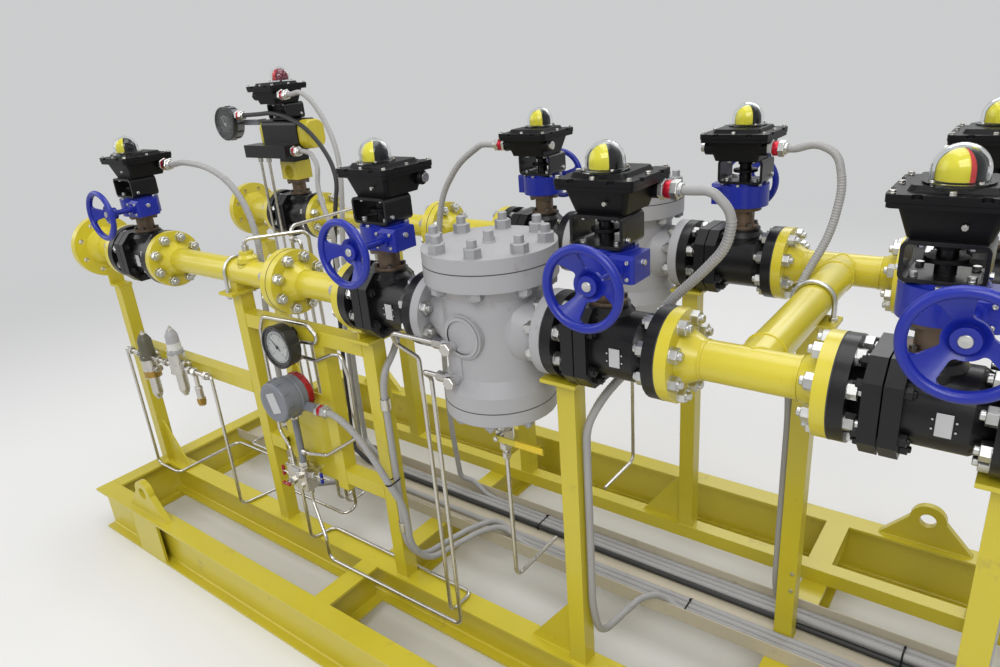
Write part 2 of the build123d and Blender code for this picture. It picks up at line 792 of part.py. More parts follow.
def dome():
    """Clear shell with its ring flange over the beacon."""
    base = (Align.CENTER, Align.CENTER, Align.MIN)
    inner_radius = dome_radius - dome_wall
    outer = Cylinder(dome_radius, dome_straight, align=base) + Pos(0, 0, dome_straight) * Sphere(dome_radius)
    inner = Cylinder(inner_radius, dome_straight, align=base) + Pos(0, 0, dome_straight) * Sphere(inner_radius)
    flange = Cylinder(dome_flange_radius, dome_flange_height, align=base)
    keep = Cylinder(dome_flange_radius, dome_straight + dome_radius, align=base)
    return Pos(0, 0, plateau_top) * ((outer + flange - inner) & keep)


def beacon():
    """Turning marker with a round top on its spindle."""
    foot = plateau_top + beacon_lift
    top = foot + beacon_straight
    drum = rod((0, 0, foot), (0, 0, top), beacon_radius) + Pos(0, 0, top) * Sphere(beacon_radius)
    drum = drum & rod((0, 0, foot), (0, 0, top + beacon_radius), beacon_radius)
    return drum + rod((0, 0, plateau_top - spindle_seat), (0, 0, foot), spindle_radius)


def switch_stack(name, place, plugged):
    """Box, lid, dome and beacon on a foot, with a plug in one port; plugged is the sign of its side."""
    add("switch_boxes", place * switch_box())
    add("switch_lids", place * switch_lid())
    add("domes", place * dome())
    add("beacon_" + name, place * beacon())
    a, b = plugged * port_reach, plugged * (port_reach + plug_reach)
    add("connectors", place * rod((a, port_y, port_height), (b, port_y, port_height), plug_radius))


for name in wheel_turns:
    front = name[0] == "v"
    place = Pos(stem_x[name], -run_y if front else run_y, pipe_z) * Rot(0, 0, 0 if front else 180)
    add("switch_brackets", place * Pos(0, 0, bracket_foot) * switch_bracket(bracket_height))
    lead_side = -1 if name in left_led else 1
    switch_stack(name, place * Pos(0, 0, box_foot), -lead_side if front else lead_side)

# Rack actuator on its pedestal, on the first valve of the back run
ax, ay = stem_x["b1"], run_y
pedestal_z = pipe_z + gear_bottom
adapter_z = pedestal_z + pedestal_height
barrel_z = adapter_z + adapter_height
barrel_axis_z = barrel_z + actuator_height / 2
stand_z = barrel_z + actuator_height
window_z = pedestal_z + pedestal_window_height
half_w, half_d = pedestal_width / 2, pedestal_depth / 2
pedestal = block(ax - half_w, ax + half_w, ay - half_d, ay + half_d, pedestal_z, adapter_z)
pedestal -= rod((ax, ay - pedestal_depth, window_z), (ax, ay + pedestal_depth, window_z), pedestal_window)
add("actuator_bracket", pedestal)


def cushion(x, width, height, corner):
    """Rounded outline across the barrel at x."""
    outline = fillet(Rectangle(width, height).vertices(), corner)
    return Plane(origin=(x, ay, barrel_axis_z), x_dir=(0, 1, 0), z_dir=(1, 0, 0)) * outline


half = adapter_width / 2
adapter = block(ax - half, ax + half, ay - half, ay + half, adapter_z, barrel_z)
barrel = extrude(cushion(ax - actuator_half, actuator_width, actuator_height, actuator_corner), 2 * actuator_half)
solenoid_x, solenoid_y, solenoid_z = ax - solenoid_back, ay - half, barrel_z - solenoid_drop
solenoid = block(solenoid_x, solenoid_x + solenoid_length, solenoid_y - solenoid_depth, solenoid_y - solenoid_root,
                 solenoid_z, solenoid_z + solenoid_height)
solenoid += block(ax - half, ax + half, solenoid_y - 2 * solenoid_root, solenoid_y + solenoid_root, solenoid_z, barrel_z)
add("actuator", adapter + barrel + solenoid)
for s, length in zip((-1, 1), cap_lengths):
    face, tip = ax + s * actuator_half, ax + s * (actuator_half + length)
    middle = tip - s * cap_taper
    cap = extrude(cushion(min(face, middle), cap_width, cap_height, cap_corner), abs(middle - face))
    outer = loft([cushion(middle, cap_width, cap_height, cap_corner),
                  cushion(tip, cap_width - cap_taper, cap_height - cap_taper, cap_corner - cap_taper / 2)])
    add("actuator_caps", cap + outer)
add("switch_brackets", Pos(ax, ay, stand_z) * switch_bracket(stack_gap))
stack_z = stand_z + stack_gap
switch_stack("b1", Pos(ax, ay, stack_z) * Rot(0, 0, 180), 1)

# Round positioner on its arm at the actuator's left cap
px, py, pz = ax + dial_x, ay + dial_y, pipe_z + dial_z
half = dial_depth / 2
case = rod((px, py - half, pz), (px, py + half, pz), dial_radius)
case -= rod((px, py - half, pz), (px, py - half + dial_glass_drop, pz), dial_radius - dial_rim)
cap_end = ax - actuator_half - cap_lengths[0]
arm_y = py + half + dial_arm / 2
arm = block(px, cap_end, arm_y - dial_arm / 2, arm_y + dial_arm / 2, pz - dial_arm, pz + dial_arm)
foot = block(cap_end - dial_arm, cap_end, arm_y, ay, pz - dial_arm, pz + dial_arm)
boss = rod((px, py, pz + dial_gland), (px + dial_radius, py, pz + dial_gland), connector_radius)
add("positioner", case + arm + foot + boss)


# Filter vessels
def vessel_body():
    """Cast body between its flanges with two nozzles along X, the run axis through the origin."""
    outline = [(low_flange_bottom, low_flange_radius), (low_flange_top, low_flange_radius),
               (low_flange_top + vessel_flare, vessel_radius), (body_flange_bottom - neck_in, vessel_radius),
               (body_flange_bottom, vessel_radius + neck_in / 2), (body_flange_bottom, cover_radius), (cover_bottom, cover_radius)]
    h = vessel_length / 2
    a = h - flange_depth
    nozzles = [(-h, flange_radius), (-a, flange_radius), (-a, nozzle_radius), (-nozzle_root_x, nozzle_root_radius),
               (nozzle_root_x, nozzle_root_radius), (a, nozzle_radius), (a, flange_radius), (h, flange_radius)]
    ports = rod((0, -port_ring_reach, 0), (0, port_ring_reach, 0), port_ring_radius)
    return turned_z(outline) + turned_x(nozzles) + ports


def tap(height):
    """Pressure tap on the vessel's side with its fitting towards minus X."""
    boss = rod((tap_x, 0, height), (tap_x, -tap_reach, height), tap_radius)
    y = -tap_reach + tap_side_inset
    return boss + rod((tap_x, y, height), (tap_x - tap_side_reach, y, height), nut_radius)


for side in (-1, 1):
    place = Pos(vessel_x, side * run_y, pipe_z)
    body = vessel_body()
    if side < 0:
        half = tap_bracket_width / 2
        web = block(tap_x - half, tap_x + half, -tap_bracket_reach, -vessel_radius / 2, tap_heights[1], tap_heights[0])
        body += web + tap(tap_heights[0]) + tap(tap_heights[1])
    add("vessel_bodies", place * body)
    add("vessel_covers", place * rod((0, 0, cover_bottom), (0, 0, cover_top), cover_radius))
    add("vessel_bottoms", place * rod((0, 0, low_cover_bottom), (0, 0, low_flange_bottom), low_flange_radius))

# Drain valves under the vessels, each with a quarter turn lever and a tube down and inwards
drain_z = pipe_z - drain_drop
half = drain_body_height / 2
for side, name in ((-1, "front"), (1, "back")):
    y = side * run_y
    low = drain_z - half - drain_tail
    pipe = rod((vessel_x, y, pipe_z + low_cover_bottom), (vessel_x, y, low), drain_pipe_radius)
    body = rod((vessel_x, y, drain_z - half), (vessel_x, y, drain_z + half), drain_body_radius)
    tip = y + side * gland_reach
    gland = rod((vessel_x, y, drain_z), (vessel_x, tip, drain_z), gland_radius)
    bore = rod((vessel_x, y + side * stem_seat, drain_z), (vessel_x, tip, drain_z), drain_stem_radius + running_clearance)
    outlet = bent([(vessel_x, y, low), (vessel_x, y, drain_pipe_foot), (vessel_x, y - side * drain_pipe_run, drain_pipe_foot)],
                  tubing_radius, tubing_bend)
    add("drain_valves", pipe + body + gland - bore + outlet)
    lever_y = tip + side * lever_gap
    x0, x1 = vessel_x - lever_width / 2, vessel_x + lever_length
    z0, z1 = drain_z - lever_width / 2, drain_z + lever_width / 2
    stem = rod((vessel_x, y + side * (stem_seat + spindle_end_gap), drain_z), (vessel_x, lever_y, drain_z), drain_stem_radius)
    add("drain_lever_" + name, stem + block(x0, x1, lever_y, lever_y + side * lever_sheet, z0, z1))

# Instrument frame between the first posts of the front run
top_rail_z = pipe_z - top_rail_drop
mid_rail_z = pipe_z - mid_rail_drop
front = [x + s * tube_half for x in post_x[:3] for s in (-1, 1)]
frame_post_x = post_x[2] - frame_post_back
stub_bar_end = front[3] + stub_bar_reach
add("instrument_frame", tube_along_x(front[3], front[4], -run_y, top_rail_z))
add("instrument_frame", tube_along_x(front[1], front[2], -run_y, mid_rail_z))
add("instrument_frame", tube_along_x(front[3], stub_bar_end, -run_y, pipe_z - stub_bar_drop))
add("instrument_frame", tube_along_x(frame_post_x + tube_half, front[4], -run_y, pipe_z - low_bar_drop))
add("instrument_post", post(frame_post_x, -run_y, pipe_z - frame_post_foot, top_rail_z - tube_half))
panel_y = -run_y - panel_sheet / 2
panel_x1 = frame_post_x - tube_half
add("instrument_plate", block(stub_bar_end, panel_x1, panel_y, panel_y + panel_sheet, pipe_z - panel_bottom_drop, pipe_z - panel_top_drop))
rail_face = -run_y - tube_half

# Gauge on the top rail
gx, gy, gz = post_x[1] + gauge_x, -run_y + gauge_y, pipe_z - gauge_drop
half = gauge_depth / 2
case = rod((gx, gy - half, gz), (gx, gy + half, gz), gauge_radius)
case -= rod((gx, gy - half, gz), (gx, gy - half + gauge_glass_drop, gz), gauge_radius - gauge_rim)
add("gauge", case + rod((gx, gy + half, top_rail_z), (gx, rail_face, top_rail_z), gauge_mount_radius))

# Transmitter on the plate, its stem down to the manifold
tx, ty, tz = post_x[1] + transmitter_x, -run_y + transmitter_front, pipe_z - transmitter_drop
back = ty + transmitter_length
mx, my, mz = post_x[1] + manifold_x, -run_y + manifold_y, pipe_z - manifold_drop
stem = mx + manifold_stem
lead_z = tz - transmitter_lead_drop
neck_end = tx + transmitter_radius + transmitter_neck
ring = rod((tx, back, tz), (tx, back + transmitter_ring, tz), transmitter_radius - transmitter_rim)
housing = rod((tx, ty, tz), (tx, back, tz), transmitter_radius) + ring
neck = rod((tx, my, lead_z), (neck_end, my, lead_z), connector_radius)
bracket = rod((tx, back, pipe_z - panel_top_drop - coupler_radius), (tx, panel_y, pipe_z - panel_top_drop - coupler_radius), coupler_radius)
cell = block(stem - transmitter_cell, stem + transmitter_cell, my - transmitter_cell, my + transmitter_cell,
             tz - transmitter_radius - transmitter_cell, tz - transmitter_cell)
shank = rod((stem, my, mz + manifold_height / 2), (stem, my, tz - transmitter_radius), drain_pipe_radius)
add("transmitter", housing + neck + bracket + cell + shank)

# Manifold with its small valves
half_l, half_w, half_h = manifold_length / 2, manifold_width / 2, manifold_height / 2
body = block(mx - half_l, mx + half_l, my - half_w, my + half_w, mz - half_h, mz + half_h)
for x in (mx - half_l / 2, mx + half_l / 2):
    body += rod((x, my, mz), (x, panel_y, mz), drain_pipe_radius)
for s, z in ((-1, mz - handle_spread), (1, mz + handle_spread)):
    tip = mx + s * (half_l + handle_length)
    body += rod((mx, my, z), (tip, my, z), handle_radius) + rod((mx, my, z), (mx + s * (half_l + valve_nose), my, z), nut_radius)
    body += rod((tip, my, z - handle_spread), (tip, my, z + handle_spread), handle_radius)
tip = my - half_w - handle_length / 2
body += rod((mx - half_l / 2, my, mz - handle_spread), (mx - half_l / 2, tip, mz - handle_spread), handle_radius)
body += rod((mx - half_l / 2 - handle_spread, tip, mz - handle_spread), (mx - half_l / 2 + handle_spread, tip, mz - handle_spread), handle_radius)
add("manifold", body)

# Pilot regulators on the rail between the first posts
pilot_line = -run_y + pilot_y
for offset, bell_radius, bell_height, bell_foot in zip(pilot_x, pilot_bell_radius, pilot_bell_height, pilot_bell_foot):
    x, foot = post_x[1] + offset, pipe_z + bell_foot
    low = foot - pilot_body_height
    bell = [(foot, bell_radius + 4), (foot + bell_height / 8, bell_radius + 4), (foot + bell_height / 8, bell_radius),
            (foot + bell_height * 0.8, bell_radius * 0.9), (foot + bell_height, bell_radius * 0.5)]
    core = [(low - pilot_low_height, pilot_low_radius * 0.7), (low - pilot_low_height * 0.8, pilot_low_radius), (low, pilot_low_radius),
            (low, pilot_body_radius), (foot, pilot_body_radius)]
    hold = rod((0, 0, mid_rail_z), (0, rail_face - pilot_line, mid_rail_z), pilot_low_radius)
    add("regulators", Pos(x, pilot_line, 0) * (turned_z(core) + turned_z(bell) + hold))

# Cable tray: a shallow trough with rows of long slots
tray_end = inner_end_x - tray_end_gap
tray_width = tray_back - tray_front
tray_middle = (tray_front + tray_back) / 2
trough = Rectangle(tray_width, tray_height) - Pos(0, tray_sheet) * Rectangle(tray_width - 2 * tray_sheet, tray_height)
tray_plane = Plane(origin=(-tray_end, tray_middle, tray_foot + tray_height / 2), x_dir=(0, 1, 0), z_dir=(1, 0, 0))
tray = extrude(tray_plane * trough, 2 * tray_end)
slot_plane = Plane(origin=(0, tray_middle, tray_foot))
for place in GridLocations(tray_slot_pitch, tray_slot_rows, tray_slot_count, 2):
    tray -= extrude(slot_plane * place * SlotOverall(tray_slot_length, tray_slot_width), tray_sheet)
notch = tube_half + post_notch
tray -= block(branch_x - notch, branch_x + notch, crossover_post_y - notch, crossover_post_y + notch, tray_foot, tray_foot + tray_sheet)
add("cable_tray", tray)

line_z = mid_rail_z + fitting_lift
line_x0, line_x1, hang_x = post_x[1] - fitting_left, post_x[1] - fitting_right, post_x[1] - fitting_hang
row = rod((line_x0, pilot_line, line_z), (line_x1, pilot_line, line_z), fitting_radius)
for offset in fitting_nuts:
    x = post_x[1] - offset
    row += rod((x, pilot_line, line_z), (x + nut_length, pilot_line, line_z), fitting_nut_radius)
row += rod((hang_x, pilot_line, line_z), (hang_x, pilot_line, line_z - fitting_drop), fitting_radius)
row += rod((hang_x, pilot_line, line_z - fitting_drop / 2), (hang_x, pilot_line, line_z - fitting_drop), fitting_nut_radius)
regulators = parts.pop("regulators")
add("regulators", regulators[0] + regulators[1] + row)


# Tubing: points are given from a post of the front run at the height of the pipes
def near_post(k, *steps):
    """Points at steps from the front run's axis at a post."""
    return [(post_x[k] + dx, dy - run_y, pipe_z + dz) for dx, dy, dz in steps]


def down_to(height):
    """Step in Z from the pipes to a height above the floor."""
    return height - pipe_z


low = down_to(tube_low_z)
start_dx, end_dx = line_x0 - post_x[1] - fit_gap, line_x1 - post_x[1] + fit_gap
row_y, row_z = pilot_line + run_y, line_z - pipe_z
socket_dx, socket_z = socket_x - post_x[1], socket_top + fit_gap
left_line = near_post(1, (start_dx, row_y, row_z), (start_dx - 30, row_y, row_z), (start_dx - 30, row_y, low), (-709, row_y, low),
                      (-709, 245, low), (105, 245, low), (105, 170, low), (105, 170, 125), (105, 705, 125), (socket_dx, 750, 125),
                      (socket_dx, 750, socket_z))
right_line = near_post(1, (end_dx, row_y, row_z), (end_dx + 27, row_y, row_z), (end_dx + 27, row_y, low), (-194, 113, low),
                       (201, 113, low), (201, 170, low), (201, 170, 118), (socket_dx, 0, 118), (socket_dx, 0, socket_z))
supply_dx, supply_z = ax - supply_back - post_x[1], solenoid_z - fit_gap - pipe_z
supply_line = near_post(1, (supply_dx, 625, supply_z), (supply_dx, 625, low), (supply_dx, 270, low), (152, 270, low),
                        (152, 170, low), (152, 170, 80), (105, 170, 80))
add("tubing", tube_line(*left_line) + tube_line(*supply_line))
add("tubing", tube_line(*right_line))
vent_dx = supply_dx + supply_pitch
add("tubing", tube_line(*near_post(1, (vent_dx, 625, supply_z), (vent_dx, 625, down_to(vent_foot)), (vent_dx, 600, down_to(vent_foot) - 60))))

manifold_top, manifold_foot = mz + manifold_height / 2 + fit_gap - pipe_z, mz - manifold_height / 2 - fit_gap - pipe_z
my_step = my + run_y
gauge_back = gy + gauge_depth / 2 + fit_gap + run_y
gauge_line = near_post(1, (330, gauge_back, -194), (330, -37, -194), (411, -37, -186), (427, -37, -161), (383, -37, -124),
                       (149, -37, -135), (122, -37, -187), (122, -43, -580), (194, my_step, -620), (194, my_step, manifold_top))
stem_dx = stem + drain_pipe_radius + fit_gap - post_x[1]
loop_line = near_post(1, (323, gauge_back, -248), (323, -37, -248), (401, -37, -248), (485, -37, -211), (530, -37, -202),
                      (549, -37, -273), (544, -37, -401), (536, -37, -498), (367, -37, -613), (296, my_step, -613), (stem_dx, my_step, -613))
tap_dx = vessel_x + tap_x - tap_side_reach - fit_gap - post_x[1]
tap_y = tap_side_inset - tap_reach
low_tap, high_tap = tap_heights[1], tap_heights[0]
front_line = near_post(1, (266, my_step, manifold_foot), (266, my_step, -820), (358, -100, -920), (358, -100, low), (971, -97, low),
                       (969, -95, low_tap - 43), (988, tap_y, low_tap), (tap_dx, tap_y, low_tap))
back_line = near_post(1, (211, my_step, manifold_foot), (211, my_step, low), (226, 34, low), (906, 34, low), (906, -70, low),
                      (906, -70, -125), (876, -118, -70), (891, tap_y, high_tap), (tap_dx, tap_y, high_tap))
for line in (gauge_line, loop_line, front_line, back_line):
    add("tubing", tube_line(*line))

# Conduits: each leaves a connector, follows a post down and ends in its own lane of the cable tray
lane_z = tray_foot + tray_sheet + conduit_radius + fit_gap
lane_end = tray_end - lane_end_gap
front_lanes = [lane_front + lane_pitch * k for k in range(4)]
back_lanes = [lane_back + lane_pitch_back * k for k in range(4)]
port_z = box_foot + port_height


def into_lane(x, y0, lane, layer=0.0):
    """Last points of a conduit: over the tray's lip at x from y0, then down into its lane and along it."""
    step = lane_drop / 2
    return [(x, y0, lip_height + lip_rise), (x + step, lane, lip_height), (x + step + lane_drop, lane, lane_z + layer),
            (lane_end, lane, lane_z + layer)]


def lead_from(start, s):
    """First two points of a conduit, straight out of its connector along X by the sign of s."""
    x, y, z = start
    return [(x + s * fit_gap, y, z), (x + s * connector_lead, y, z)]


def box_lead(name):
    """Connector on a switch box; gives the first points of its conduit."""
    s = -1 if name in left_led else 1
    y = (port_y - run_y) if name[0] == "v" else (run_y - port_y)
    x = stem_x[name] + s * port_reach
    z = pipe_z + port_z if name != "b1" else stack_z + port_height
    add("connectors", connector((x, y, z), (s, 0, 0)))
    return lead_from((x + s * connector_length, y, z), s)


def conduit(first, k, steps, x, y0, lane, layer=0.0):
    """Conduit from its first points through steps from a post into a lane."""
    add("conduits", bent(first + near_post(k, *steps) + into_lane(x, y0, lane, layer), conduit_radius))


conduit(box_lead("v1"), 1, [(-334, 80, 351), (-194, 82, 340), (-84, 87, 295), (-14, 91, 215), (31, 83, 110), (58, 62, 10),
                            (60, 39, -130), (60, 39, -800), (60, 75, -900)], post_x[1] + 76, -95, front_lanes[3])
conduit(box_lead("v2"), 2, [(-66, 95, 328), (-82, 120, 280), (-79, 135, 180), (-69, 137, 30), (-29, 135, -90), (21, 90, -145),
                            (40, 50, -185), (45, -10, -235), (45, -25, -290), (45, -25, -860), (50, 30, -950)],
        post_x[2] + 62, -95, front_lanes[2])
conduit(box_lead("v3"), 3, [(312, 82, 342), (355, 92, 295), (342, 100, 220), (282, 103, 150), (217, 103, 85), (165, 103, 15),
                            (125, 99, -90), (67, 45, -170), (38, 3, -245), (38, 3, -820), (42, 35, -935)],
        post_x[3] + 46, -95, front_lanes[0])
conduit(box_lead("v4"), 4, [(48, 80, 325), (58, 81, 270), (56, 83, 80), (53, 83, -130), (22, 38, -260), (20, 37, -820),
                            (20, 75, -900)], post_x[4] + 10, -95, front_lanes[0] + lane_pitch / 2, top_layer)
lead_neck = near_post(1, (neck_end - post_x[1], my_step, lead_z - pipe_z))[0]
add("connectors", connector(lead_neck, (1, 0, 0)))
lead_start = lead_from((lead_neck[0] + connector_length, lead_neck[1], lead_neck[2]), 1)
conduit(lead_start, 2, [(-109, -75, -420), (-49, -75, -460), (1, -72, -520), (45, -64, -600), (73, -36, -700), (73, -30, -860),
                        (84, 30, -950)], post_x[2] + 104, -95, front_lanes[1])
conduit(box_lead("b2"), 2, [(-44, 660, 342), (-141, 645, 280), (-219, 630, 171), (-243, 615, 51), (-238, 590, -126), (-223, 540, -428),
                            (-200, 510, -731)], post_x[2] - 190, 150, back_lanes[3])
conduit(box_lead("b4"), 4, [(48, 670, 325), (58, 669, 270), (56, 667, 80), (53, 667, -130), (22, 712, -260), (20, 713, -820),
                            (20, 675, -900)], post_x[4] + 10, 250, back_lanes[0] + lane_pitch_back / 2, top_layer)
conduit(box_lead("b1"), 1, [(-344, 669, 546), (-274, 667, 505), (-196, 661, 410), (-140, 645, 300), (-112, 615, 180), (-125, 590, -20),
                            (-137, 560, -320), (-139, 545, -720)], post_x[1] - 132, 165, back_lanes[2])
solenoid_end = solenoid_x + solenoid_length
lower = (solenoid_end, solenoid_y - solenoid_depth / 2, solenoid_z + solenoid_height / 2)
add("connectors", connector(lower, (1, 0, 0)))
conduit(lead_from((lower[0] + connector_length, lower[1], lower[2]), 1), 1, [(-329, 658, 296), (-279, 645, 245), (-272, 618, 170), (-219, 590, 80),
        (-170, 575, 10), (-160, 565, -220), (-168, 545, -720)], post_x[1] - 166, 160, back_lanes[1])
start = box_lead("b3")
crossover = [(branch_x - tube_half - conduit_radius - 1, y, z) for y, z in ((crossover_post_y, pipe_z - 320), (crossover_post_y, 330))]
top_lane = back_lanes[0] + lane_pitch_back / 2
add("conduits", bent(start + near_post(3, (361, 669, 355), (417, 665, 330), (438, 655, 250), (426, 625, 130), (377, 565, 10),
                                         (362, 505, -98), (388, 465, -205)) + crossover
                     + [(crossover[0][0] + 2, top_lane - 15, 240), (crossover[0][0] + 40, top_lane, lane_z + top_layer + 5),
                        (crossover[0][0] + 110, top_lane, lane_z + top_layer), (lane_end - 160, top_lane, lane_z + top_layer)],
                     conduit_radius))

# Sleeves on the stiff part of the second valve's conduit
for z in sleeve_heights:
    x, y = post_x[2] + sleeve_step[0], -run_y + sleeve_step[1]
    sleeve = rod((x, y, z), (x, y, z + sleeve_length), connector_radius)
    add("connectors", sleeve - rod((x, y, z), (x, y, z + sleeve_length), conduit_radius + fit_gap))

# Cable of the positioner
gland_z = pz + dial_gland
gland_x = px + dial_radius
add("connectors", connector((gland_x, py, gland_z), (1, 0, 0)))
cable = near_post(1, (-657, 681, 458), (-599, 681, 462), (-501, 678, 452), (-366, 678, 402), (-278, 675, 331), (-213, 665, 258),
                  (-182, 653, 180), (-189, 625, 70), (-199, 590, -120), (-205, 545, -620), (-204, 535, -860))
first = lead_from((gland_x + connector_length, py, gland_z), 1)
add("actuator_cable", bent(first + cable + into_lane(post_x[1] - 199, 150, back_lanes[0]), cable_radius))

for name, solids in parts.items():
    shape = solids[0] if len(solids) == 1 else Compound([piece for solid in solids for piece in solid.solids()])
    export_step(shape, f"parts/{name}.step")
print(len(parts), "nodes")
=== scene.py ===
import json
from itertools import product
from math import cos, pi, radians, sin

import bmesh
import bpy
from mathutils import Matrix, Vector


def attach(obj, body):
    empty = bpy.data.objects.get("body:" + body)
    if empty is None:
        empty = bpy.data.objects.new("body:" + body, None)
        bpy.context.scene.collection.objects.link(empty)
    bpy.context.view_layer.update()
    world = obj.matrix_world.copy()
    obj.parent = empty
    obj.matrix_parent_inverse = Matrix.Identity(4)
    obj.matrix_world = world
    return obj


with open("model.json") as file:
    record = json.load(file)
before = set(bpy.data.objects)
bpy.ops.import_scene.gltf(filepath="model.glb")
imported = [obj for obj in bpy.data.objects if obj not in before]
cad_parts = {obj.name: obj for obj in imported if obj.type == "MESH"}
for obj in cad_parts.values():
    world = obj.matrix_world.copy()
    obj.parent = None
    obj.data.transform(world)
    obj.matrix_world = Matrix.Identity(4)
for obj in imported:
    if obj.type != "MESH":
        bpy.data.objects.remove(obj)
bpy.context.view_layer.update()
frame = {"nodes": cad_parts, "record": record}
nodes = frame["nodes"]
scene = bpy.context.scene
MM = 0.001

# Camera: place and lens found by matching flanges, posts and beams with the photograph
CAMERA_AT = (1.4535, -1.7310, 1.8635)
CAMERA_YAW = 0.672
CAMERA_PITCH = 0.374
CAMERA_ROLL = -0.082
FOCAL_PIXELS = 720.9
PICTURE_WIDTH = 1000.0
SENSOR = 36.0

# Studio: shades, and the metres from the object between which the floor fades into the backdrop
BACKDROP = (0.60, 0.605, 0.61, 1)
FLOOR = (0.76, 0.755, 0.745, 1)
WORLD_SHADE = (0.90, 0.91, 0.93, 1)
WORLD_LIGHT = 0.52
FADE_FROM = 2.2
FADE_TO = 7.5
# Place, height aimed at, size and watts of each lamp
LAMPS = {
    "key": ((2.5, -4.5, 5.0), 0.8, (4.0, 3.0), 205),
    "fill": ((-5.0, -3.0, 4.0), 0.8, (4.0, 4.0), 85),
    "back": ((0.5, 5.5, 5.0), 1.0, (5.0, 2.5), 110),
    "top": ((0.2, 0.2, 5.6), 1.0, (4.5, 2.6), 110),
}


def make_camera():
    """Camera at the photograph's viewpoint."""
    data = bpy.data.cameras.new("camera")
    data.sensor_width = SENSOR
    data.lens = SENSOR * FOCAL_PIXELS / PICTURE_WIDTH
    data.clip_start = 0.05
    camera = bpy.data.objects.new("camera", data)
    scene.collection.objects.link(camera)
    look = Vector((-sin(CAMERA_YAW) * cos(CAMERA_PITCH), cos(CAMERA_YAW) * cos(CAMERA_PITCH), -sin(CAMERA_PITCH)))
    level = Vector((cos(CAMERA_YAW), sin(CAMERA_YAW), 0))
    rise = level.cross(look)
    right = level * cos(CAMERA_ROLL) + rise * sin(CAMERA_ROLL)
    up = rise * cos(CAMERA_ROLL) - level * sin(CAMERA_ROLL)
    turn = Matrix((right, up, -look)).transposed()
    camera.matrix_world = Matrix.Translation(CAMERA_AT) @ turn.to_4x4()
    scene.camera = camera


def area_light(name, at, height, size, power):
    """Soft rectangular lamp pointed at a height over the middle of the skid."""
    data = bpy.data.lights.new(name, "AREA")
    data.shape = "RECTANGLE"
    data.size, data.size_y = size
    data.energy = power
    lamp = bpy.data.objects.new(name, data)
    lamp.location = at
    lamp.rotation_euler = (Vector((0, 0, height)) - Vector(at)).to_track_quat("-Z", "Y").to_euler()
    scene.collection.objects.link(lamp)


def node_of(tree, kind, **values):
    """New shader node with its input values set by name."""
    made = tree.nodes.new(kind)
    for key, value in values.items():
        made.inputs[key.replace("_", " ")].default_value = value
    return made


def math_of(tree, operation, first, second):
    """Result of a sum with two sockets."""
    made = tree.nodes.new("ShaderNodeMath")
    made.operation = operation
    tree.links.new(first, made.inputs[0])
    tree.links.new(second, made.inputs[1])
    return made.outputs["Value"]


def mixed(tree, share, first, second, last):
    """Leads two shaders, mixed by a share, to the last node of a tree."""
    mix = tree.nodes.new("ShaderNodeMixShader")
    for source, sink in zip((share, first, second), mix.inputs):
        tree.links.new(source, sink)
    tree.links.new(mix.outputs["Shader"], tree.nodes[last].inputs["Surface"])


def rays_that_see(tree):
    """Output that is one for the rays by which the backdrop is seen."""
    ray = tree.nodes.new("ShaderNodeLightPath")
    seen = math_of(tree, "MAXIMUM", ray.outputs["Is Camera Ray"], ray.outputs["Is Glossy Ray"])
    return math_of(tree, "MAXIMUM", seen, ray.outputs["Is Transmission Ray"])


def floor_material():
    """Pale floor that fades into the backdrop with the distance from the object."""
    material = bpy.data.materials.new("floor")
    material.use_nodes = True
    tree = material.node_tree
    links = tree.links
    shader = tree.nodes["Principled BSDF"]
    shader.inputs["Base Color"].default_value = FLOOR
    shader.inputs["Roughness"].default_value = 0.85
    noise = node_of(tree, "ShaderNodeTexNoise", Scale=60)
    bump = node_of(tree, "ShaderNodeBump", Strength=0.05)
    links.new(noise.outputs["Fac"], bump.inputs["Height"])
    links.new(bump.outputs["Normal"], shader.inputs["Normal"])
    place = tree.nodes.new("ShaderNodeNewGeometry")
    length = tree.nodes.new("ShaderNodeVectorMath")
    length.operation = "LENGTH"
    links.new(place.outputs["Position"], length.inputs[0])
    fade = node_of(tree, "ShaderNodeMapRange", From_Min=FADE_FROM, From_Max=FADE_TO)
    fade.interpolation_type = "SMOOTHSTEP"
    links.new(length.outputs["Value"], fade.inputs["Value"])
    share = math_of(tree, "MULTIPLY", fade.outputs["Result"], rays_that_see(tree))
    glow = node_of(tree, "ShaderNodeEmission", Color=BACKDROP)
    mixed(tree, share, shader.outputs["BSDF"], glow.outputs["Emission"], "Material Output")
    return material


def studio():
    """Pale floor, a backdrop of the same shade and soft light."""
    mesh = bpy.data.meshes.new("floor")
    floor = bpy.data.objects.new("floor", mesh)
    scene.collection.objects.link(floor)
    bm = bmesh.new()
    bmesh.ops.create_grid(bm, x_segments=1, y_segments=1, size=40)
    bm.to_mesh(mesh)
    bm.free()
    floor.location.z = -0.0005
    mesh.materials.append(floor_material())
    world = bpy.data.worlds.new("studio")
    world.use_nodes = True
    tree = world.node_tree
    light = tree.nodes["Background"]
    light.inputs["Color"].default_value = WORLD_SHADE
    light.inputs["Strength"].default_value = WORLD_LIGHT
    sky = node_of(tree, "ShaderNodeBackground", Color=BACKDROP)
    mixed(tree, rays_that_see(tree), light.outputs["Background"], sky.outputs["Background"], "World Output")
    scene.world = world
    for name, lamp in LAMPS.items():
        area_light(name, *lamp)


scene.view_settings.view_transform = "Standard"
make_camera()
studio()

# Materials
materials = {}
EDGE_RADIUS = 0.0015
GRAIN_DEPTH = 0.0006


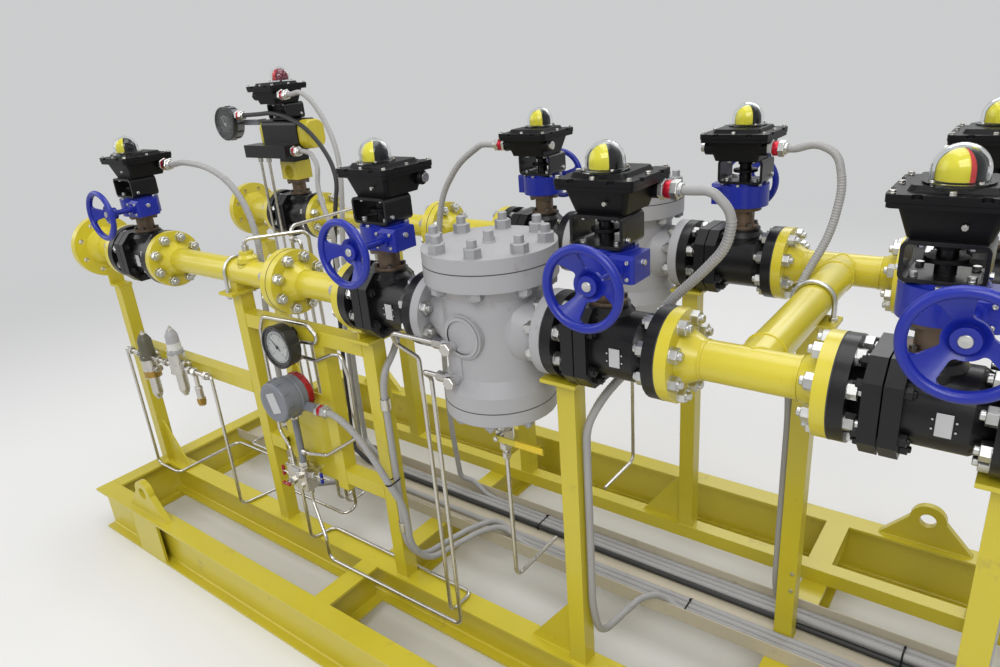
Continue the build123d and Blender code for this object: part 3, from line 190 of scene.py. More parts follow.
def finish(name, colour, rough, metallic=0.0, mottle=0.08, mottle_scale=6.0, grain=0.15, grain_scale=180.0,
           rough_range=0.12, dirt=None, dirt_amount=0.0, coat=0.0, specular=0.5):
    """Painted, plated or moulded surface: mottled colour, soiled spots, uneven gloss and fine grain."""
    material = materials[name] = bpy.data.materials.new(name)
    material.use_nodes = True
    tree = material.node_tree
    links = tree.links
    shader = tree.nodes["Principled BSDF"]
    shader.inputs["Metallic"].default_value = metallic
    shader.inputs["Specular IOR Level"].default_value = specular
    if coat:
        shader.inputs["Coat Weight"].default_value = coat
        shader.inputs["Coat Roughness"].default_value = 0.12
    place = tree.nodes.new("ShaderNodeTexCoord")
    broad = node_of(tree, "ShaderNodeTexNoise", Scale=mottle_scale, Detail=6.0, Roughness=0.6)
    links.new(place.outputs["Object"], broad.inputs["Vector"])
    shade = tree.nodes.new("ShaderNodeMix")
    shade.data_type = "RGBA"
    shade.inputs["A"].default_value = (*(c * (1 - mottle * 1.6) for c in colour), 1)
    shade.inputs["B"].default_value = (*(min(1.0, c * (1 + mottle)) for c in colour), 1)
    links.new(broad.outputs["Fac"], shade.inputs["Factor"])
    last = shade.outputs["Result"]
    if dirt:
        spots = node_of(tree, "ShaderNodeTexNoise", Scale=mottle_scale * 4, Detail=9.0, Roughness=0.72)
        links.new(place.outputs["Object"], spots.inputs["Vector"])
        limit = tree.nodes.new("ShaderNodeValToRGB")
        limit.color_ramp.elements[0].position = 0.62 - dirt_amount * 0.2
        limit.color_ramp.elements[1].position = 0.80 - dirt_amount * 0.1
        links.new(spots.outputs["Fac"], limit.inputs["Fac"])
        soil = tree.nodes.new("ShaderNodeMix")
        soil.data_type = "RGBA"
        soil.inputs["B"].default_value = (*dirt, 1)
        links.new(limit.outputs["Color"], soil.inputs["Factor"])
        links.new(last, soil.inputs["A"])
        last = soil.outputs["Result"]
    links.new(last, shader.inputs["Base Color"])
    gloss = tree.nodes.new("ShaderNodeMapRange")
    gloss.inputs["To Min"].default_value = max(0.02, rough - rough_range / 2)
    gloss.inputs["To Max"].default_value = min(1.0, rough + rough_range)
    links.new(broad.outputs["Fac"], gloss.inputs["Value"])
    links.new(gloss.outputs["Result"], shader.inputs["Roughness"])
    fine = node_of(tree, "ShaderNodeTexNoise", Scale=grain_scale, Detail=4.0)
    links.new(place.outputs["Object"], fine.inputs["Vector"])
    bump = node_of(tree, "ShaderNodeBump", Strength=grain, Distance=GRAIN_DEPTH)
    links.new(fine.outputs["Fac"], bump.inputs["Height"])
    round_edge = node_of(tree, "ShaderNodeBevel", Radius=EDGE_RADIUS)
    round_edge.samples = 4
    links.new(round_edge.outputs["Normal"], bump.inputs["Normal"])
    links.new(bump.outputs["Normal"], shader.inputs["Normal"])


def clear(name):
    """Clear moulded or glass surface."""
    material = materials[name] = bpy.data.materials.new(name)
    material.use_nodes = True
    tree = material.node_tree
    links = tree.links
    shader = tree.nodes["Principled BSDF"]
    shader.inputs["Base Color"].default_value = (0.95, 0.97, 0.97, 1)
    shader.inputs["Transmission Weight"].default_value = 1.0
    shader.inputs["IOR"].default_value = 1.3
    place = tree.nodes.new("ShaderNodeTexCoord")
    haze = node_of(tree, "ShaderNodeTexNoise", Scale=9.0, Detail=5.0)
    links.new(place.outputs["Object"], haze.inputs["Vector"])
    gloss = node_of(tree, "ShaderNodeMapRange", To_Min=0.02, To_Max=0.09)
    links.new(haze.outputs["Fac"], gloss.inputs["Value"])
    links.new(gloss.outputs["Result"], shader.inputs["Roughness"])


finish("yellow_paint", (0.56, 0.468, 0.024), 0.36, mottle=0.10, mottle_scale=2.2, dirt=(0.30, 0.235, 0.05),
       dirt_amount=0.12, coat=0.25, grain=0.2, grain_scale=90)
finish("pipe_yellow", (0.60, 0.505, 0.028), 0.30, mottle=0.08, mottle_scale=2.5, dirt=(0.38, 0.30, 0.07),
       dirt_amount=0.08, coat=0.35, grain=0.22, grain_scale=70)
finish("black_paint", (0.007, 0.007, 0.008), 0.30, mottle=0.35, mottle_scale=7, coat=0.1, specular=0.28,
       grain=0.5, grain_scale=60)
finish("black_plastic", (0.006, 0.006, 0.007), 0.40, mottle=0.3, mottle_scale=6, specular=0.16, grain=0.25,
       grain_scale=240)
finish("blue_paint", (0.006, 0.017, 0.29), 0.34, mottle=0.15, mottle_scale=5, coat=0.22, specular=0.4, grain=0.6,
       grain_scale=48)
finish("bare_bronze", (0.16, 0.115, 0.08), 0.45, metallic=0.7, mottle=0.35, mottle_scale=22,
       dirt=(0.10, 0.05, 0.025), dirt_amount=0.5, grain=0.5, grain_scale=120)
finish("grey_paint", (0.36, 0.355, 0.365), 0.40, mottle=0.08, mottle_scale=3, dirt=(0.22, 0.20, 0.18),
       dirt_amount=0.1, grain=0.35, grain_scale=70)
clear("clear_dome")
clear("clear_glass")
finish("beacon_yellow", (0.80, 0.70, 0.02), 0.45, mottle=0.05)
finish("beacon_red", (0.62, 0.03, 0.03), 0.45, mottle=0.05)
finish("beacon_red_dark", (0.16, 0.012, 0.03), 0.45, mottle=0.05)
finish("tray_beige", (0.50, 0.45, 0.34), 0.5, mottle=0.12, mottle_scale=3, dirt=(0.30, 0.26, 0.18), dirt_amount=0.2)
finish("conduit_grey", (0.34, 0.335, 0.33), 0.45, mottle=0.12, mottle_scale=8, dirt=(0.20, 0.19, 0.17),
       dirt_amount=0.15, grain=0.3, grain_scale=220)
finish("cable_black", (0.02, 0.02, 0.02), 0.5, mottle=0.2)
finish("zinc_steel", (0.62, 0.62, 0.60), 0.28, metallic=1.0, mottle=0.15, mottle_scale=30, rough_range=0.2)
finish("stainless", (0.58, 0.56, 0.52), 0.24, metallic=1.0, mottle=0.12, mottle_scale=25, rough_range=0.16)
finish("machined_steel", (0.45, 0.43, 0.38), 0.4, metallic=1.0, mottle=0.2, mottle_scale=20,
       dirt=(0.22, 0.13, 0.07), dirt_amount=0.3)
finish("dark_steel", (0.12, 0.11, 0.10), 0.35, metallic=0.9, mottle=0.3, mottle_scale=30)
finish("galvanised", (0.36, 0.36, 0.37), 0.5, metallic=0.35, mottle=0.12, mottle_scale=24)
finish("tag_steel", (0.55, 0.55, 0.56), 0.38, metallic=0.6, mottle=0.1, mottle_scale=20)
finish("brass", (0.42, 0.27, 0.07), 0.3, metallic=0.9, mottle=0.2, mottle_scale=30, dirt=(0.16, 0.10, 0.04),
       dirt_amount=0.3)
finish("gasket_dark", (0.05, 0.05, 0.05), 0.7, mottle=0.2)
finish("gauge_black", (0.02, 0.02, 0.02), 0.3, mottle=0.2)
finish("housing_grey", (0.17, 0.18, 0.205), 0.38, mottle=0.1, mottle_scale=9, grain=0.4, grain_scale=80)
finish("dial_white", (0.62, 0.62, 0.60), 0.5, mottle=0.04, mottle_scale=12)
finish("dial_grey", (0.085, 0.085, 0.08), 0.45, mottle=0.1, mottle_scale=12)
finish("grip_yellow", (0.72, 0.52, 0.02), 0.4, mottle=0.08, mottle_scale=15)
finish("red_plastic", (0.34, 0.008, 0.012), 0.35, mottle=0.12, mottle_scale=10)
finish("red_metal", (0.50, 0.01, 0.03), 0.28, metallic=0.5, mottle=0.12, mottle_scale=25)
finish("blue_plastic", (0.006, 0.016, 0.26), 0.4, mottle=0.1, specular=0.4)
finish("olive_paint", (0.10, 0.095, 0.06), 0.45, mottle=0.15, mottle_scale=20, grain=0.3)
slots = {part["node"]: part["material_slot"] for part in frame["record"]["subparts"]}
for name, node in nodes.items():
    node.data.materials.clear()
    node.data.materials.append(materials[slots[name]])

# Shapes for the added pieces, in millimetres, each a pair of points and faces with its axis along Z
RIPPLE = 0.22
CORNER_REACH = 1.2
TIE_THICK = 1.3
TIE_HALF = 2.5


def on_circle(count, radius, start=0.0):
    """Number and place of each of some points spread round a circle, from an angle in degrees."""
    for k in range(count):
        a = radians(start + 360 / count * k)
        yield k, radius * cos(a), radius * sin(a)


def ring_faces(count, per, closed=False):
    """Faces between rings of points, each ring to the next."""
    faces = []
    for k in range(count if closed else count - 1):
        n = (k + 1) % count
        for j in range(per):
            m = (j + 1) % per
            faces.append((k * per + j, k * per + m, n * per + m, n * per + j))
    return faces


def lathe(profile, steps=24):
    """Turned shape from (radius, z) pairs, from the lower end to the upper one."""
    points, faces, rings = [], [], []
    for radius, z in profile:
        first = len(points)
        ring = on_circle(steps, radius) if radius > 1e-6 else [(0, 0, 0)]
        points += [Vector((x, y, z)) for k, x, y in ring]
        rings.append(range(first, len(points)))
    for low, high in zip(rings, rings[1:]):
        for k in range(steps):
            n = (k + 1) % steps
            if len(low) == 1:
                faces.append((low[0], high[n], high[k]))
            elif len(high) == 1:
                faces.append((low[k], low[n], high[0]))
            else:
                faces.append((low[k], low[n], high[n], high[k]))
    return points, faces


def turned_part(profile, start, span, steps=24):
    """Part of a turned shape between two angles, in degrees, open at its cut sides."""
    points, faces = [], []
    rows = len(profile)
    for k in range(steps + 1):
        a = radians(start + span * k / steps)
        points += [Vector((r * cos(a), r * sin(a), z)) for r, z in profile]
    for k in range(steps):
        for j in range(rows - 1):
            a = k * rows + j
            faces.append((a, a + rows, a + rows + 1, a + 1))
    return points, faces


def prism(outline, z0, z1, bevel=0.0):
    """Upright prism of a convex outline with its top edges bevelled."""
    count = len(outline)
    middle = Vector((sum(p[0] for p in outline) / count, sum(p[1] for p in outline) / count))
    levels = [(z0, 0.0), (z1 - bevel, 0.0), (z1, bevel)] if bevel else [(z0, 0.0), (z1, 0.0)]
    points = []
    for z, inset in levels:
        for p in outline:
            flat = Vector(p) - (Vector(p) - middle).normalized() * inset * CORNER_REACH
            points.append(Vector((*flat, z)))
    caps = [tuple(reversed(range(count))), tuple(range((len(levels) - 1) * count, len(levels) * count))]
    return points, ring_faces(len(levels), count) + caps


def joined(*shapes):
    """Several shapes as one."""
    points, faces = [], []
    for more_points, more_faces in shapes:
        base = len(points)
        points += more_points
        faces += [tuple(i + base for i in face) for face in more_faces]
    return points, faces


def cuboid(x0, x1, y0, y1, z0, z1, bevel=0.0):
    """Box between two corners with its upper edges bevelled."""
    return prism([(x0, y0), (x1, y0), (x1, y1), (x0, y1)], z0, z1, bevel)


def hex_bar(flats, z0, z1, bevel):
    """Hexagon bar of a width across flats, with its upper edges bevelled."""
    return prism([(x, y) for k, x, y in on_circle(6, flats / 3 ** 0.5)], z0, z1, bevel)


def washer(radius, z0):
    """Flat disc under a nut or a bolt head."""
    return lathe([(0, z0), (radius, z0), (radius, 1.2), (0, 1.2)], 18)


def nut(flats, height, rod=0.0, proud=0.0):
    """Chamfered nut, with the rounded end of its stud when a rod radius is given."""
    parts = [hex_bar(flats, 0, height, flats * 0.05), washer(flats * 0.56, -0.5)]
    if rod:
        tip = height + proud
        parts.append(lathe([(rod, height - 1), (rod, tip - 1.5), (rod - 1.5, tip), (0, tip)], 12))
    return joined(*parts)


def hex_bolt(flats, height):
    """Hexagon bolt head on its washer."""
    return joined(hex_bar(flats, 1.0, height, flats * 0.06), washer(flats * 0.58, 0))


def socket_screw(radius, height):
    """Round screw head with its hexagon socket."""
    return lathe([(0, 0), (radius, 0), (radius, height - 1), (radius - 0.8, height), (radius * 0.5, height),
                  (radius * 0.46, height * 0.45), (0, height * 0.4)], 16)


def ring_bead(radius, bead, seed):
    """Rippled weld bead round a pipe, as a torus about Z."""
    points, around, steps = [], 8, 48
    for k in range(steps):
        a = 2 * pi * k / steps
        swell = bead * (1 + 0.25 * sin(k * 2.4 + seed) * cos(k * 1.1 + 2 * seed))
        for j, out, up in on_circle(around, swell):
            points.append(Vector(((radius + out) * cos(a), (radius + out) * sin(a), up)))
    return points, [face[:1] + face[:0:-1] for face in ring_faces(steps, around, True)]


def bead_ring(at, side, up, swell):
    """Ring of seven points of a weld bead."""
    return [at + side * x + up * y for k, x, y in on_circle(7, swell)]


def bead_line(start, end, bead, seed):
    """Rippled weld bead along a straight joint, in place."""
    a, b = Vector(start), Vector(end)
    along = (b - a).normalized()
    side = along.orthogonal().normalized()
    up = along.cross(side)
    count = max(4, int((b - a).length / (bead * 1.3)))
    points = []
    for k in range(count + 1):
        swell = 1.0 + RIPPLE * sin(k * 2.1 + seed) if 0 < k < count else 0.35
        points += bead_ring(a.lerp(b, k / count), side, up, bead * swell)
    caps = [tuple(reversed(range(7))), tuple(range(count * 7, count * 7 + 7))]
    return points, ring_faces(count + 1, 7) + caps


def bead_loop(points, bead, seed):
    """Rippled weld bead along a closed curved joint, in place."""
    made = []
    for k, point in enumerate(points):
        along = (Vector(points[(k + 1) % len(points)]) - Vector(points[k - 1])).normalized()
        side = along.cross(Vector((0.31, 0.17, 0.93))).normalized()
        swell = bead * (1.0 + RIPPLE * sin(k * 2.1 + seed))
        made += bead_ring(Vector(point), side, along.cross(side), swell)
    return made, ring_faces(len(points), 7, True)


def strap(centres, radius, at):
    """Cable tie pulled round parallel tubes: convex loop about circles in the XY plane."""
    points = [Vector((cx + x, cy + y)) for cx, cy in centres for k, x, y in on_circle(24, radius)]
    points.sort(key=lambda p: (p.x, p.y))
    hull = []
    for chain in (points, points[::-1]):
        part = []
        for p in chain:
            while len(part) > 1 and (part[-1] - part[-2]).cross(p - part[-1]) <= 1e-9:
                part.pop()
            part.append(p)
        hull += part[:-1]
    middle = Vector((sum(p.x for p in hull), sum(p.y for p in hull))) / len(hull)
    made = []
    for grow, z in ((0, -TIE_HALF), (TIE_THICK, -TIE_HALF), (TIE_THICK, TIE_HALF), (0, TIE_HALF)):
        made += [at @ Vector((*(p + (p - middle).normalized() * grow), z)) for p in hull]
    return made, ring_faces(4, len(hull), True)


def along_hose(points, share, pitch):
    """Places at a pitch along a hose whose bends take a share of the shorter run beside each."""
    track = [Vector(points[0])]
    for a, b, c in zip(points, points[1:], points[2:]):
        a, b, c = Vector(a), Vector(b), Vector(c)
        cut = share * min((b - a).length, (c - b).length)
        start, end = b + (a - b).normalized() * cut, b + (c - b).normalized() * cut
        half = (b - a).angle(c - b) / 2
        centre = b + ((start + end) / 2 - b).normalized() * (cut / sin(half)) if half > 1e-4 else None
        for k in range(13):
            if centre is None:
                track.append(start.lerp(end, k / 12))
            else:
                arm = (start - centre).slerp(end - centre, k / 12)
                track.append(centre + arm.normalized() * (start - centre).length)
    track.append(Vector(points[-1]))
    places, left = [], pitch
    for a, b in zip(track, track[1:]):
        run = (b - a).length
        if run < 1e-6:
            continue
        while left <= run:
            places.append((a.lerp(b, left / run), (b - a).normalized()))
            left += pitch
        left -= run
    return places


def turned(degree):
    """Matrix of a turn about Z, in degrees."""
    return Matrix.Rotation(radians(degree), 4, "Z")


def placed(x, y, z, direction=(0, 0, 1), turn=0.0):
    """Matrix that puts a shape at a point with its axis along a direction."""
    spin = Vector(direction).to_track_quat("Z", "Y").to_matrix().to_4x4()
    return Matrix.Translation((x, y, z)) @ spin @ turned(turn)


class Batch:
    """Collects placed shapes that become one object."""

    def __init__(self, name, material, body="frame", smooth=32.0):
        self.name, self.material, self.body, self.smooth = name, material, body, smooth
        self.points, self.faces = [], []

    def put(self, shape, matrix=None):
        """Adds one shape."""
        base = len(self.points)
        self.points += [(matrix @ p if matrix else p) * MM for p in shape[0]]
        self.faces += [tuple(i + base for i in face) for face in shape[1]]

    def hexes(self, matrix, *bars):
        """Adds hexagon bars on one axis, each by its turn, width across flats, ends and bevel."""
        for turn, *bar in bars:
            self.put(hex_bar(*bar), matrix @ turned(turn))

    def build(self):
        """Makes the object and lets it move with its body."""
        mesh = bpy.data.meshes.new(self.name)
        mesh.from_pydata([tuple(p) for p in self.points], [], self.faces)
        mesh.materials.append(materials[self.material])
        made = bpy.data.objects.new(self.name, mesh)
        scene.collection.objects.link(made)
        bm = bmesh.new()
        bm.from_mesh(mesh)
        bmesh.ops.recalc_face_normals(bm, faces=bm.faces)
        bm.to_mesh(mesh)
        bm.free()
        for polygon in mesh.polygons:
            polygon.use_smooth = True
        mesh.set_sharp_from_angle(angle=radians(self.smooth))
        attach(made, self.body)


def build(*batches):
    """Makes the objects of several batches."""
    for batch in batches:
        batch.build()


# Stations of the part, in millimetres
UP, DOWN, OUT = (0, 0, 1), (0, 0, -1), (0, -1, 0)
ENDS = SIDES = (-1, 1)
RUN_Y = 375.0
PIPE_Z = 1220.0
END_FACE = 1743.0
SPOOL_FACE = 1474.0
VALVES = (-1332.5, 17.5, 710.5, 1332.5)
FRONT_SHIFT = (6.0, -16.0, -16.0, 0.0)
BACK_SHIFT = (0.0, 9.0, 24.0, 0.0)
FLANGE_JOINTS = (-SPOOL_FACE, -1191.0, -461.0, -124.0, 159.0, 569.0, 852.0, 1191.0, SPOOL_FACE)
VESSEL_X = 364.0
BRANCH_X = 1021.5
SOCKET_X = -690.0
POSTS = (-1663.0, -766.0, -121.0, 583.0, 1479.0)
INSTRUMENT_POST = -356
BEAM_TOP = 203.0
BEAM_Y = 632
END_BEAM_X = 1625
CORNER_X = 1663
LUG_X = 1302
LUG_Y = 670
LUG_COVER_Y = 707
TUBE = 25.4
PIPE = 44.6
FLANGE_FACE = 28.6
STUD_CIRCLE = 84.15
CLAMP = 50.75
# Heights of the actuator's switch box and bracket over those of the gear operators
BOX_LIFT = 196.0
BRACKET_LIFT = 197.0
STACKS = [(f"v{k + 1}", VALVES[k] + FRONT_SHIFT[k], -1) for k in range(4)]
STACKS += [(f"b{k + 1}", VALVES[k] + BACK_SHIFT[k], 1) for k in range(4)]


def stack_place(x, side):
    """Matrix of a valve's stem; the back row is turned round."""
    return Matrix.Translation((x, side * RUN_Y, PIPE_Z)) @ turned(0 if side < 0 else 180)


# Studs and nuts of the flange joints, with the edge of each gasket
studs = Batch("flange_studs", "zinc_steel")
gaskets = Batch("gaskets", "gasket_dark")
stud_end = nut(31.0, 18.0, 9.3, 9.0)
for x, side in product(FLANGE_JOINTS, SIDES):
    y = side * RUN_Y
    gaskets.put(lathe([(100, -1.1), (105.5, -1.1), (105.5, 1.1), (100, 1.1)], 64), placed(x, y, PIPE_Z, (1, 0, 0)))
    for k, dy, dz in on_circle(8, STUD_CIRCLE, 22.5):
        for s in ENDS:
            studs.put(stud_end, placed(x + s * FLANGE_FACE, y + dy, PIPE_Z + dz, (s, 0, 0), 17 * k + 11 * s))
build(studs, gaskets)

# Raised faces of the end flanges, grooved
raised_faces = Batch("raised_faces", "machined_steel")
grooves = [(78 - 2.2 * k, 1.6 - 0.35 * (k % 2)) for k in range(1, 11)]
for s, side in product(ENDS, SIDES):
    ring = [(53, 0), (78, 0), (78, 1.6)] + grooves + [(53, 1.6), (53, 0)]
    raised_faces.put(lathe(ring, 64), placed(s * END_FACE, side * RUN_Y, PIPE_Z, (s, 0, 0)))
raised_faces.build()

# Weld beads
welds = Batch("weld_beads", "pipe_yellow", smooth=60)
frame_welds = Batch("frame_welds", "yellow_paint", smooth=60)


def weld(start, end, bead, seed):
    """Weld bead between two points of the frame."""
    frame_welds.put(bead_line(start, end, bead, seed))


def weld_tube(at, first, second, bead, seed):
    """Weld bead round the end of a square tube, in the plane of two axes."""
    corners = [tuple(c + (a * u + b * v) * TUBE for c, u, v in zip(at, first, second))
               for a, b in ((-1, -1), (1, -1), (1, 1), (-1, 1))]
    for start, end in zip(corners, corners[1:] + corners[:1]):
        weld(start, end, bead, seed)


for side in SIDES:
    y = side * RUN_Y
    branch = [(BRANCH_X + dx, side * (RUN_Y - abs(dx) - 1.0), PIPE_Z + dz) for k, dx, dz in on_circle(48, PIPE)]
    welds.put(bead_loop(branch, 2.8, 1))
    saddle = [(SOCKET_X + dx, y + dy, PIPE_Z + (PIPE ** 2 - dy ** 2) ** 0.5) for k, dx, dy in on_circle(32, 34.5)]
    welds.put(bead_loop(saddle, 3.0, 2))
    welds.put(ring_bead(45.0, 2.6, 1), placed(BRANCH_X, side * (RUN_Y - 86), PIPE_Z, (0, 1, 0)))
    for s in ENDS:
        welds.put(ring_bead(57.6, 2.4, 3), placed(s * (END_FACE - 76), y, PIPE_Z, (1, 0, 0)))
        welds.put(ring_bead(45.2, 2.4, 4), placed(s * (SPOOL_FACE + 69.6), y, PIPE_Z, (1, 0, 0)))
        half = 38 if side < 0 else TUBE
        weld((s * END_BEAM_X, y - half, BEAM_TOP), (s * END_BEAM_X, y + half, BEAM_TOP), 2.6, 11)
        # Lifting lugs with their cover plates, and the end beams
        lug, corner = s * LUG_X, s * CORNER_X
        for w in (-12.5, 12.5):
            weld((lug - 138, side * LUG_Y + w, BEAM_TOP), (lug + 138, side * LUG_Y + w, BEAM_TOP), 3.4, 7)
        for end in (-100, 100):
            weld((lug + end, side * LUG_COVER_Y, 14), (lug + end, side * LUG_COVER_Y, 189), 2.6, 8)
        for edge in (-38, 38):
            weld((corner + edge, side * BEAM_Y, 2), (corner + edge, side * BEAM_Y, 10), 2.2, 9)
        weld((corner - 37, side * BEAM_Y, BEAM_TOP), (corner + 37, side * BEAM_Y, BEAM_TOP), 2.6, 10)
    for index, x in enumerate(POSTS):
        weld_tube((x, y, BEAM_TOP), (1, 0, 0), (0, 1, 0), 2.8, index)
    for x, s in ((POSTS[0], 1), (POSTS[3], -1)):
        for w in (-4, 4):
            foot = (x + s * TUBE, y + w, BEAM_TOP)
            weld(foot, (x + s * (TUBE + 150), y + w, BEAM_TOP), 2.4, 5)
            weld(foot, (x + s * TUBE, y + w, BEAM_TOP + 198), 2.4, 6)
for x, z in ((POSTS[1] + TUBE, 1049), (POSTS[2] - TUBE, 1049), (POSTS[0] + TUBE, 777), (POSTS[1] - TUBE, 777),
             (POSTS[1] + TUBE, 570), (POSTS[2] - TUBE, 534.6), (INSTRUMENT_POST + TUBE, 534.6)):
    weld_tube((x, -RUN_Y, z), (0, 1, 0), (0, 0, 1), 2.4, 12)
weld_tube((INSTRUMENT_POST, -RUN_Y, 1023.6), (1, 0, 0), (0, 1, 0), 2.4, 13)
build(welds, frame_welds)

# Nuts of the pipe clamps
clamp_nuts = Batch("clamp_nuts", "zinc_steel")
clamps = [(POSTS[1], side * RUN_Y + s * CLAMP, 1145.5) for side, s in product(SIDES, ENDS)]
clamps += [(BRANCH_X + s * CLAMP, 75, 1165.5) for s in ENDS]
for x, y, z in clamps:
    clamp_nuts.put(nut(19.0, 10.0), placed(x, y, z, DOWN))
    clamp_nuts.put(nut(19.0, 10.0), placed(x, y, z + 10.1, UP, 20))
clamp_nuts.build()

# Ball valves: nuts of the body joint, bonnet screws and bare data plates
PLATE_X = 40
PLATE_Y = 80.4
body_nuts = Batch("body_nuts", "black_paint")
bonnet_screws = Batch("bonnet_screws", "dark_steel")
data_plates = Batch("data_plates", "tag_steel")
body_nut = nut(22, 13, 6.5, 5)
rivet = lathe([(0, 0), (2.2, 0), (1.8, 1.2), (0, 1.6)], 10)
for index, x in enumerate(VALVES):
    for side, shifts in ((-1, FRONT_SHIFT), (1, BACK_SHIFT)):
        at = Matrix.Translation((x, side * RUN_Y, PIPE_Z))
        for (y, z), sy, sz in product(((78, 46), (46, 78)), SIDES, SIDES):
            body_nuts.put(body_nut, at @ placed(-88, sy * y, sz * z, (-1, 0, 0), 13))
            body_nuts.put(body_nut, at @ placed(-23, sy * y, sz * z, (1, 0, 0), 31))
        stem = at @ Matrix.Translation((shifts[index], 0, 0))
        for radius, flats, z, way in ((37.5, 13, 107, UP), (41, 14, 152, DOWN)):
            for k, dx, dy in on_circle(4, radius, 45):
                bonnet_screws.put(hex_bolt(flats, 8), stem @ placed(dx, dy, z, way, 10 * k))
        data_plates.put(cuboid(-22, 22, -13, 13, 0, 1.4, 0.4),
                        at @ placed(PLATE_X, side * PLATE_Y, 0, (0, side, 0), -90 * side))
        for dx, dz in product((-18, 18), (-9, 9)):
            data_plates.put(rivet, at @ placed(PLATE_X + dx, side * (PLATE_Y + 1.2), dz, (0, side, 0)))
build(body_nuts, bonnet_screws, data_plates)

# Gear cases, brackets, switch boxes and domes
WORM_X = 56
WORM_Z = 196
LID_X = 84
LID_Y = 85
gear_screws = Batch("gear_screws", "zinc_steel")
bracket_bolts = Batch("bracket_bolts", "zinc_steel")
coupler_discs = Batch("coupler_discs", "black_plastic")
lid_screws = Batch("lid_screws", "stainless")
dome_screws = Batch("dome_screws", "stainless")
for name, x, side in STACKS:
    at = stack_place(x, side)
    geared = name != "b1"
    lift = 0.0 if geared else BOX_LIFT
    stand = at @ Matrix.Translation((0, 0, 0.0 if geared else BRACKET_LIFT))
    if geared:
        for k, dx, dy in on_circle(6, 60, 30):
            if k != 5:
                gear_screws.put(hex_bolt(10, 6), at @ placed(dx, dy, 228, UP, 10 * k))
        for dx, dz in product((-24, 24), (-19, 17)):
            gear_screws.put(socket_screw(4.5, 5), at @ placed(WORM_X + dx, -62, WORM_Z + dz, OUT))
        gear_screws.put(hex_bolt(12, 8), at @ placed(94, -20, 205, (1, 0, 0), 12))
    for sx in ENDS:
        for sy in SIDES:
            bracket_bolts.put(hex_bolt(13, 8), stand @ placed(sx * 42, sy * 33, 240, UP, 15 * sx))
            bracket_bolts.put(hex_bolt(10, 6), stand @ placed(sx * 36, sy * 36, 297, DOWN, 15 * sy))
        bracket_bolts.put(hex_bolt(10, 6), stand @ placed(sx * 64, -30, 252, (sx, 0, 0), 7))
    coupler_discs.put(lathe([(17, 0), (33, 0), (34, 1), (34, 7), (33, 8), (17, 8)], 36), stand @ placed(0, 0, 262))
    coupler_discs.put(lathe([(17, 0), (21, 0), (21, 10), (17, 10)], 24), stand @ placed(0, 0, 284))
    for dx, dy in product((-LID_X, 0, LID_X), (-LID_Y, 0, LID_Y)):
        if dx or dy:
            lid_screws.put(hex_bolt(9.5, 6), at @ placed(dx, 28 + dy, 381 + lift, UP, dx + dy))
    for k, dx, dy in on_circle(4, 47.3, 45):
        dome_screws.put(hex_bolt(6.5, 4), at @ placed(dx, dy, 395 + lift, UP, 8 * k))
    lid_screws.put(hex_bolt(9, 6), at @ placed(22, -46.5, 330 + lift, OUT))
build(gear_screws, bracket_bolts, coupler_discs, lid_screws, dome_screws)

# Dark sectors of the beacons: first angle and span of one of two, in degrees
MASKS = {"v1": (-38, 98), "v2": (-47, 92), "v3": (-49, 80), "v4": (-48, 66), "b1": (-70, 100), "b2": (-43, 80),
         "b3": (-51, 72), "b4": (-55, 75)}
MASK_RADIUS = 35.35
MASK_FOOT = 396.5
MASK_WALL = 14
for name, x, side in STACKS:
    at = stack_place(x, side)
    foot = MASK_FOOT + (BOX_LIFT if name == "b1" else 0.0)
    profile = [(MASK_RADIUS, foot - 0.2)]
    for k in range(11):
        a = pi / 2 * k / 10
        profile.append((MASK_RADIUS * cos(a), foot + MASK_WALL + MASK_RADIUS * sin(a)))
    start, span = MASKS[name]
    cap = Batch(f"beacon_mask_{name}", "beacon_red_dark" if name == "b1" else "black_plastic", f"beacon_{name}")
    cap.put(turned_part(profile, start, span), at)
    cap.put(turned_part(profile, start + 180, span), at)
    cap.build()
    if name == "v4":
        strip = Batch("beacon_strip_v4", "beacon_red", "beacon_v4")
        strip.put(turned_part(profile, start - 14, 14, 5), at)
        strip.build()

# Bare shaft ends in the hubs of the handwheels
for name, x, side in STACKS:
    if name == "b1":
        continue
    reach = 159 if name == "v1" else 186
    hub = Batch(f"wheel_nut_{name}", "zinc_steel", f"handwheel_{name}")
    hub.put(lathe([(10.5, -1), (10.5, 3), (9.5, 4), (3, 4), (0, 2.5)], 32),
            stack_place(x, side) @ placed(WORM_X, -reach, WORM_Z, OUT))
    hub.build()

